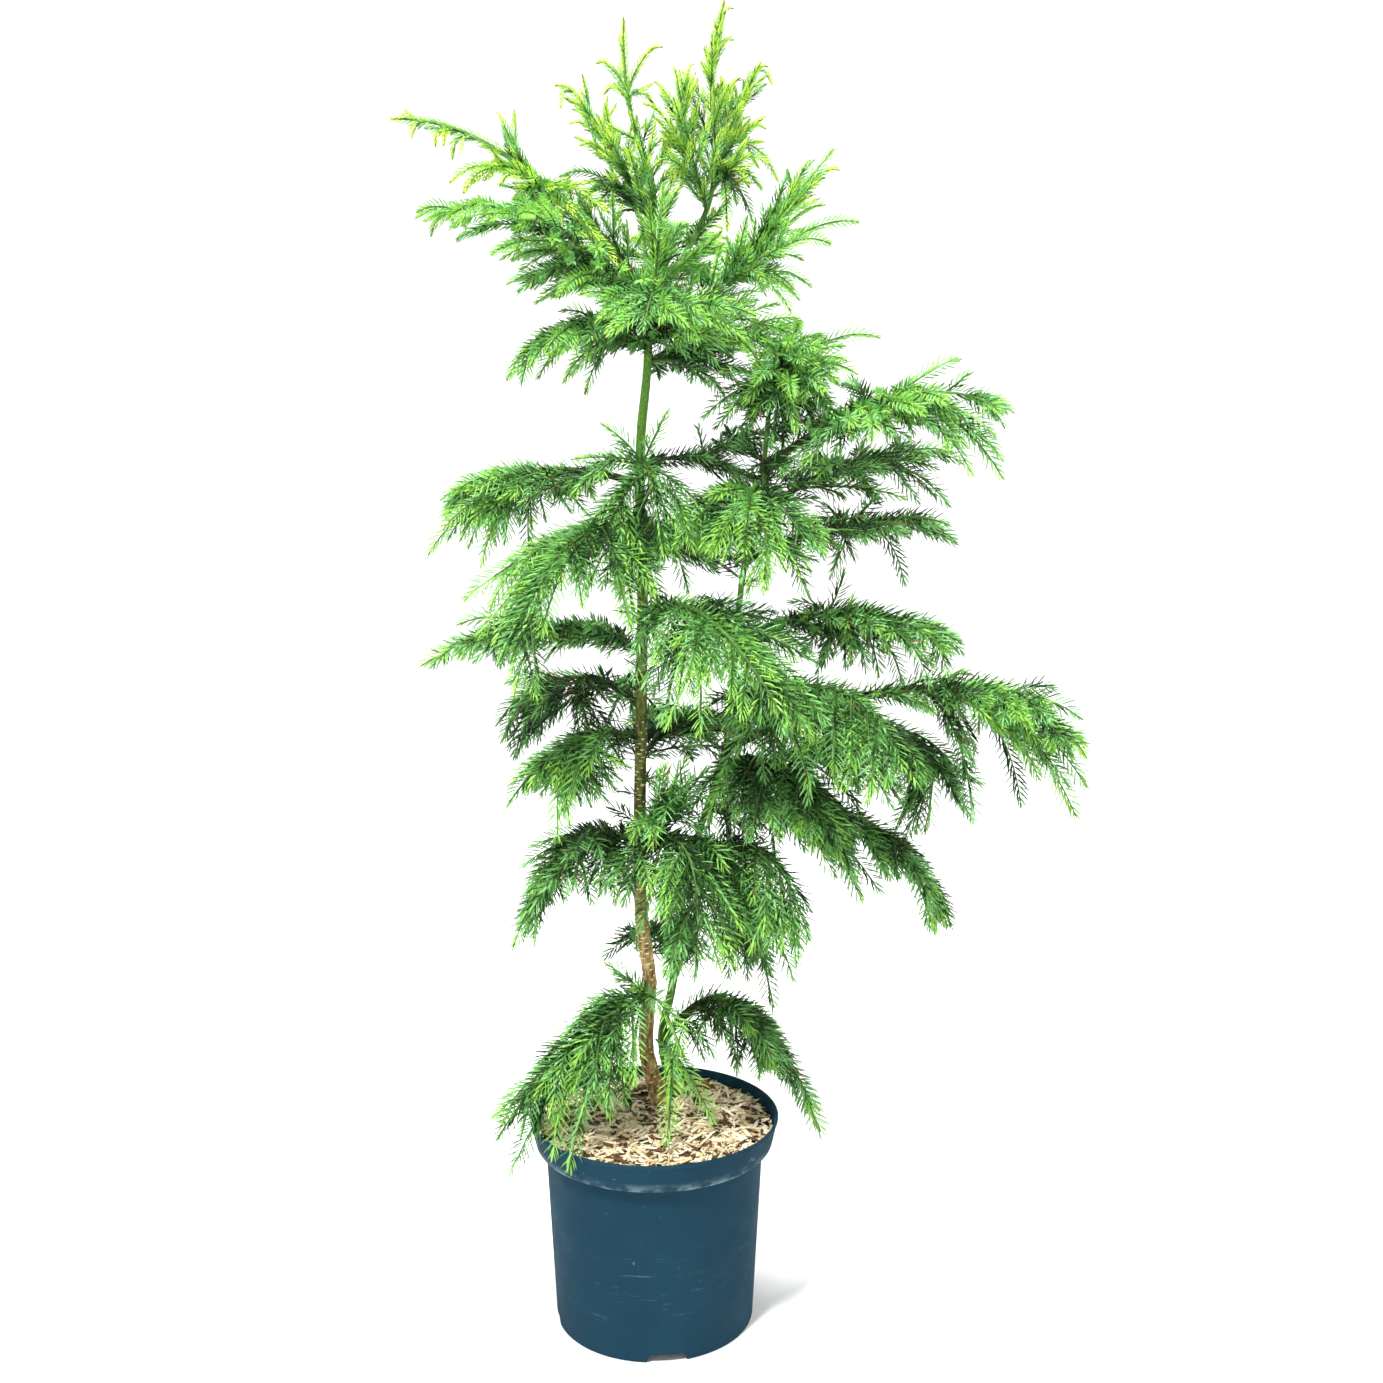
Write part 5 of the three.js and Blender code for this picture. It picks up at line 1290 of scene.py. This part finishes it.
def bark_relief(name, ribs):
    """Flaky relief with low ribs that wind along the stem."""
    def relief(points, angles, reach):
        ring = np.stack([np.cos(angles), np.sin(angles)], axis=1)[None] * reach[..., None]
        height = np.broadcast_to(points[:, None, 2:3], (*reach.shape, 1))
        places = np.concatenate([ring, height], axis=2)
        plates = 1 - np.abs(noise(places, PLATES["size"], 1)) * 2
        grain = noise(places, GRAIN["size"], 2)
        knots = np.clip(noise(places, KNOTS["size"], 3), KNOTS["from"], 1) - KNOTS["from"]
        rib = np.sin(ribs * angles[None] + points[:, None, 2] * RIBS["winding"])
        flakes = PLATES["share"] * plates + GRAIN["share"] * grain + KNOTS["share"] * knots
        return np.interp(height[..., 0], SMOOTH_FROM, RELIEF[name]) * flakes + RIBS["height"] * rib

    return relief


def make_stem(name, material, sides, step):
    curve = STEM_CURVES[name]
    shares = np.linspace(0, 1, round(curve.length / step))
    shapes = Shapes()
    shapes.add(*tube(curve, shares, stem_radius(name, shares), sides, bark_relief(name, STEM_RIBS)))
    add_piece(shapes.mesh(f"{name}_bark"), material, [name])


def make_boughs():
    shapes = Shapes()
    for row in SPRAYS:
        if row.bough:
            curve = spray_curve(row)
            shares = np.linspace(0, row.bough + BOUGH_OVERLAP, round(curve.length * row.bough / BOUGH_STEP))
            flare = BOUGH_FLARE["share"] * np.exp(-shares * curve.length / BOUGH_FLARE["length"])
            radii = bough_radius(curve, shares) * (1 + flare)
            shapes.add(*tube(curve, shares, radii, BOUGH_SIDES, bark_relief("bough", BOUGH_RIBS)))
    add_piece(shapes.mesh("bough_bark"), bough_material(), nodes_called("bough_"))


def scar(centre, out, across, along, wide, high):
    """One low scar: a rim sunk in the bark, a lip that stands out and a point that closes it inside."""
    angles = 2 * math.pi * np.arange(SCAR_CORNERS) / SCAR_CORNERS
    rim = centre + around(across * wide, along * high, angles) - out * SCAR_RELIEF["rim_sunk"]
    lip = centre - along * SCAR_RELIEF["lip_drop"] * high + out * SCAR_RELIEF["lip"]
    return np.array([*rim, lip, centre - out * SCAR_RELIEF["root"]])


def make_scars():
    """Pale scars of fallen needles round the brown foot of the trunk."""
    curve = STEM_CURVES["trunk"]
    draw_many = np.random.default_rng(SCAR_SEED)
    lowest, highest = SCARS["from"], SCARS["up_to"] * curve.length
    pairs = [(i, (i + 1) % SCAR_CORNERS) for i in range(SCAR_CORNERS)]
    faces = [(i, j, SCAR_CORNERS) for i, j in pairs] + [(j, i, SCAR_CORNERS + 1) for i, j in pairs]
    shapes = Shapes()
    for k in range(SCARS["count"]):
        along = lowest + (highest - lowest) * (k + draw_many.uniform(0, 1)) / SCARS["count"]
        share = curve.share_at(along)
        point, tangent, side, up = (row[0] for row in carried_frames(curve, np.array([share])))
        turn = math.radians(GOLDEN_TURN) * k + draw_many.uniform(-SCARS["off_turn"], SCARS["off_turn"])
        out = around(side, up, turn)
        centre = point + out * (stem_radius("trunk", share) + SCAR_RELIEF["stands"])
        wide, high = draw_many.uniform(*SCARS["wide"]), draw_many.uniform(*SCARS["high"])
        shapes.add(scar(centre, out, np.cross(tangent, out), tangent, wide, high), [faces])
    add_piece(shapes.mesh("needle_scars"), scar_material(), ["trunk"])


# Pot, soil and mulch

def rounded(corners):
    """A profile whose corners, given as radius, height and fillet, are rounded off."""
    points = []
    for i, (radius, height, fillet) in enumerate(corners):
        here = np.array([radius, height], float)
        if not fillet:
            points.append(here)
            continue
        start, end = (here + unit(np.array(corners[k][:2], float) - here) * fillet for k in (i - 1, i + 1))
        for t in np.linspace(0, 1, FILLET_STEPS + 1):
            points.append((1 - t) ** 2 * start + 2 * t * (1 - t) * here + t * t * end)
    return np.array(points)


def pot_profile():
    """The pot's outside from its foot up and its inside back down, as radius, height and fillet."""
    collar_foot = POT_HEIGHT - COLLAR_HEIGHT
    outside = [
        (0, 0, 0), (FOOT_RADIUS - 1, 0, 2.2), (SHOULDER_RADIUS, collar_foot - 2.5, 1.2),
        (COLLAR_FOOT_RADIUS - 1.5, collar_foot - 0.5, 1.6),
        (COLLAR_FOOT_RADIUS + 0.8, collar_foot + 3.2, 1.5), (RIM_RADIUS - 1.6, POT_HEIGHT - 7, 1.5),
        (RIM_RADIUS - 0.2, POT_HEIGHT - 4, 1.2), (RIM_RADIUS - 0.1, POT_HEIGHT, 0.9),
    ]
    inside = [
        (RIM_RADIUS - 2.9, POT_HEIGHT, 0.9), (COLLAR_FOOT_RADIUS - WALL, collar_foot + 2.5, 1),
        (SHOULDER_RADIUS - WALL, collar_foot - 2, 1), (FOOT_RADIUS - WALL, BASE_THICKNESS, 2),
        (0, BASE_THICKNESS, 0),
    ]
    return rounded(outside + inside)


def channel_cutter(turn):
    """The block that one drain channel takes out of the pot's foot."""
    low, high = DRAIN["width"] / 2, DRAIN["top_width"] / 2
    below, top = -DRAIN["below"], DRAIN["height"]
    section = [(-low, below), (low, below), (high, top), (-high, top)]
    vertices = np.array([(x, y, z) for y in (-DRAIN["start"], -RIM_RADIUS) for x, z in section], float)
    faces = [(3, 2, 1, 0), (4, 5, 6, 7), (0, 1, 5, 4), (1, 2, 6, 5), (2, 3, 7, 6), (3, 0, 4, 7)]
    return vertices @ spin(turn, 0, 1).T, [faces]


def cut_away(piece, cutter):
    changer = piece.modifiers.new("cut", "BOOLEAN")
    changer.operation = "DIFFERENCE"
    changer.solver = "EXACT"
    changer.object = cutter
    view = bpy.context.evaluated_depsgraph_get()
    cut = bpy.data.meshes.new_from_object(piece.evaluated_get(view))
    piece.modifiers.clear()
    piece.data = cut
    bpy.data.objects.remove(cutter)


def make_pot():
    profile = pot_profile()
    wall = rings_round(*profile[1:-1].T, POT_SEGMENTS)
    ends = [(0, 0, profile[0][1]), (0, 0, profile[-1][1])]
    vertices = np.concatenate([wall.reshape(-1, 3), ends])
    mesh = new_mesh("pot_shell", vertices, ring_faces(len(wall), POT_SEGMENTS), True)
    pot = add_piece(mesh, plastic_material(), ["pot"])
    cutters = Shapes()
    for k in range(DRAIN["count"]):
        cutters.add(*channel_cutter(math.radians(DRAIN["turn"]) + 2 * math.pi * k / DRAIN["count"]))
    cut_away(pot, add_object("drain_cutter", cutters.mesh("drain_cutter", False)))
    pot.data.set_sharp_from_angle(angle=math.radians(SHARP_EDGE))


def soil_height(places):
    """The height of the compost under the mulch: it dips at the wall and rises to the stems."""
    across, back = places[..., 0], places[..., 1]
    flat = np.stack([across, back, np.zeros_like(across)], axis=-1)
    lumps = sum(height * noise(flat, size, seed) for seed, (size, height) in enumerate(SOIL_LUMPS, 4))
    to_stems = np.hypot(across - SOIL_MOUND["x"], back - SOIL_MOUND["y"])
    mound = SOIL_MOUND["height"] * np.exp(-(to_stems / SOIL_MOUND["radius"]) ** 2)
    dip = SOIL_DIP * (np.hypot(across, back) / SOIL_EDGE) ** 6
    return SOIL_LEVEL - SOIL_LOW + mound + lumps - dip


def make_soil():
    """The compost: from the pot's base up inside its wall, then over its lumpy top to the middle."""
    tops = [(radius, 0) for radius in np.linspace(SOIL_EDGE, SOIL_MIDDLE, SOIL_RINGS)]
    wall = rings_round(*np.transpose([SOIL_FOOT, SOIL_SHOULDER, *tops]), SOIL_SEGMENTS)
    wall[2:, :, 2] = soil_height(wall[2:])
    ends = [(0, 0, SOIL_FOOT[1]), (0, 0, wall[-1, :, 2].mean())]
    vertices = np.concatenate([wall.reshape(-1, 3), ends])
    mesh = new_mesh("compost", vertices, ring_faces(len(wall), SOIL_SEGMENTS), True)
    add_piece(mesh, compost_material(), ["soil"])


def splinter(centre, length, width, thickness, yaw, pitch, roll, twist):
    """A bent flake of wood with pointed, uneven ends."""
    rows = []
    for place, wide, thick in CHIP_STATIONS:
        turn = roll + twist * place
        bend = (0.25 - place * place) * length * CHIP_BEND
        for x, z in ((-1, -1), (1, -1), (1, 1), (-1, 1)):
            y, up = x * wide * width / 2, z * thick * thickness / 2
            across = y * math.cos(turn) - up * math.sin(turn)
            rows.append((place * length, across, y * math.sin(turn) + up * math.cos(turn) + bend))
    return np.array(rows) @ spin(pitch, 0, 2).T @ spin(yaw, 0, 1).T + centre


def splinter_faces():
    grid = np.arange(4 * len(CHIP_STATIONS)).reshape(-1, 4)
    return np.concatenate([[grid[0][::-1], grid[-1]], *[strip(*pair) for pair in zip(grid, grid[1:])]])


def chip_size(kind, radius, draw):
    length, width, thickness = (draw.uniform(*CHIPS[key]) for key in ("length", "width", "thickness"))
    if kind == "red_bark":
        (longer, more_length), (wider, more_width) = RED_BARK["length"], RED_BARK["width"]
        length, width = longer * length + more_length, wider * width + more_width
    if radius + length / 2 > MULCH_EDGE + MULCH_OVER:
        length = max(LEAST_CHIP, 2 * (MULCH_EDGE + MULCH_OVER - radius))
    return length, width, thickness


def make_mulch():
    draw = np.random.default_rng(MULCH_SEED)
    kinds = {name: Shapes() for name in CHIP_SHARES}
    faces = splinter_faces()
    for _ in range(CHIPS["count"]):
        radius = MULCH_EDGE * math.sqrt(draw.uniform())
        turn = draw.uniform(0, 2 * math.pi)
        place = np.array([radius * math.cos(turn), radius * math.sin(turn)])
        across = (place[0] - BARE_SOIL["x"]) / BARE_SOIL["half_width"]
        back = (place[1] - BARE_SOIL["y"]) / BARE_SOIL["half_depth"]
        if draw.uniform() < BARE_SOIL["share"] * math.exp(-(across**2 + back**2)):
            continue
        kind = str(draw.choice(list(CHIP_SHARES), p=list(CHIP_SHARES.values())))
        size = chip_size(kind, radius, draw)
        height = float(soil_height(place[None])[0]) + draw.uniform(*CHIP_HEIGHT)
        pitch = draw.normal(0, CHIP_TILT)
        yaw, roll, twist = draw.uniform(0, math.pi), draw.normal(0, CHIP_TWIST), draw.normal(0, CHIP_TWIST)
        kinds[kind].add(splinter((*place, height), *size, yaw, pitch, roll, twist), [faces])
    for name, shapes in kinds.items():
        add_piece(shapes.mesh(f"mulch_{name}", False), chip_material(name), ["soil"])


# Stage, light and camera, in metres

FLOOR_PROFILE = ((3.2, 0), (4.0, 0.05), (4.6, 0.3), (5.0, 0.8), (5.2, 1.6), (5.2, 3.4))  # radius and height
FLOOR_SEGMENTS = 96
FLOOR_GREY = 0.86
WORLD_LIGHT = 0.3
# Soft lights: where they hang, what they face, how wide they are and their power in watts
SOFTBOXES = {
    "key": ((-1.0, -1.9, 3.5), (0.05, 0, 0.7), 0.5, 205),
    "top": ((0.5, 0.6, 3.8), (0.05, 0, 0.8), 0.9, 110),
    "back": ((1.2, 2.6, 2.6), (0.05, 0, 0.8), 1.5, 50),
}
# Lights that face outward and keep the stage white; `hangs` and `faces` are a radius and a height
WALL_LIGHTS = {"count": 6, "hangs": (2.4, 2.6), "faces": (5.2, 1.2), "size": 1.6, "power": 30}


def make_stage():
    """A pale floor that turns up far behind the object on every side."""
    wall = rings_round(*np.transpose(FLOOR_PROFILE), FLOOR_SEGMENTS)
    vertices = np.concatenate([wall.reshape(-1, 3), [(0, 0, 0)]]) / MM
    quads, _ = ring_faces(len(wall), FLOOR_SEGMENTS)
    middle = len(vertices) - 1
    fan = [(i, (i + 1) % FLOOR_SEGMENTS, middle) for i in range(FLOOR_SEGMENTS)]
    mesh = new_mesh("floor", vertices, [quads[:, ::-1], fan], True)
    mesh.materials.append(Finish("floor", (FLOOR_GREY,) * 3, 0.9, 0.1).material)
    add_object("floor", mesh)


def add_softbox(name, place, target, size, power):
    light = bpy.data.lights.new(name, "AREA")
    light.shape = "DISK"
    light.size, light.energy = size, power
    holder = add_object(name, light)
    holder.location = place
    way = np.array(target) - np.array(place)
    flat = math.hypot(way[0], way[1])
    holder.rotation_euler = (math.atan2(flat, -way[2]), 0, math.atan2(-way[0], way[1]))


def make_light():
    world = bpy.data.worlds.new("studio")
    bpy.context.scene.world = world
    world.use_nodes = True
    background = world.node_tree.nodes["Background"]
    background.inputs["Color"].default_value = (1, 1, 1, 1)
    background.inputs["Strength"].default_value = WORLD_LIGHT
    for name, row in SOFTBOXES.items():
        add_softbox(name, *row)
    for k in range(WALL_LIGHTS["count"]):
        turn = 2 * math.pi * (k + 0.5) / WALL_LIGHTS["count"]
        hangs, faces = (
            (radius * math.cos(turn), radius * math.sin(turn), height)
            for radius, height in (WALL_LIGHTS["hangs"], WALL_LIGHTS["faces"])
        )
        add_softbox(f"wall_{k + 1}", hangs, faces, WALL_LIGHTS["size"], WALL_LIGHTS["power"])


def make_camera():
    data = bpy.data.cameras.new("camera")
    data.sensor_width = SENSOR_MM
    data.lens = FOCAL_PIXELS / PHOTO_SIDE * SENSOR_MM
    camera = add_object("camera", data)
    camera.location = CAMERA_PLACE
    camera.rotation_euler = (math.radians(90 + CAMERA_PITCH), 0, 0)
    bpy.context.scene.camera = camera


make_camera()
make_light()
make_stage()
make_pot()
make_soil()
make_mulch()
make_stem("trunk", bark_material(), sides=40, step=1.4)
make_stem("second_stem", green_bark_material(), sides=24, step=2)
make_stem("co_leader", green_bark_material(), sides=16, step=2)
make_scars()
make_boughs()
plant = grow_plant()
make_twigs(plant)
make_needles(plant)
bpy.context.scene.view_settings.view_transform = "Standard"
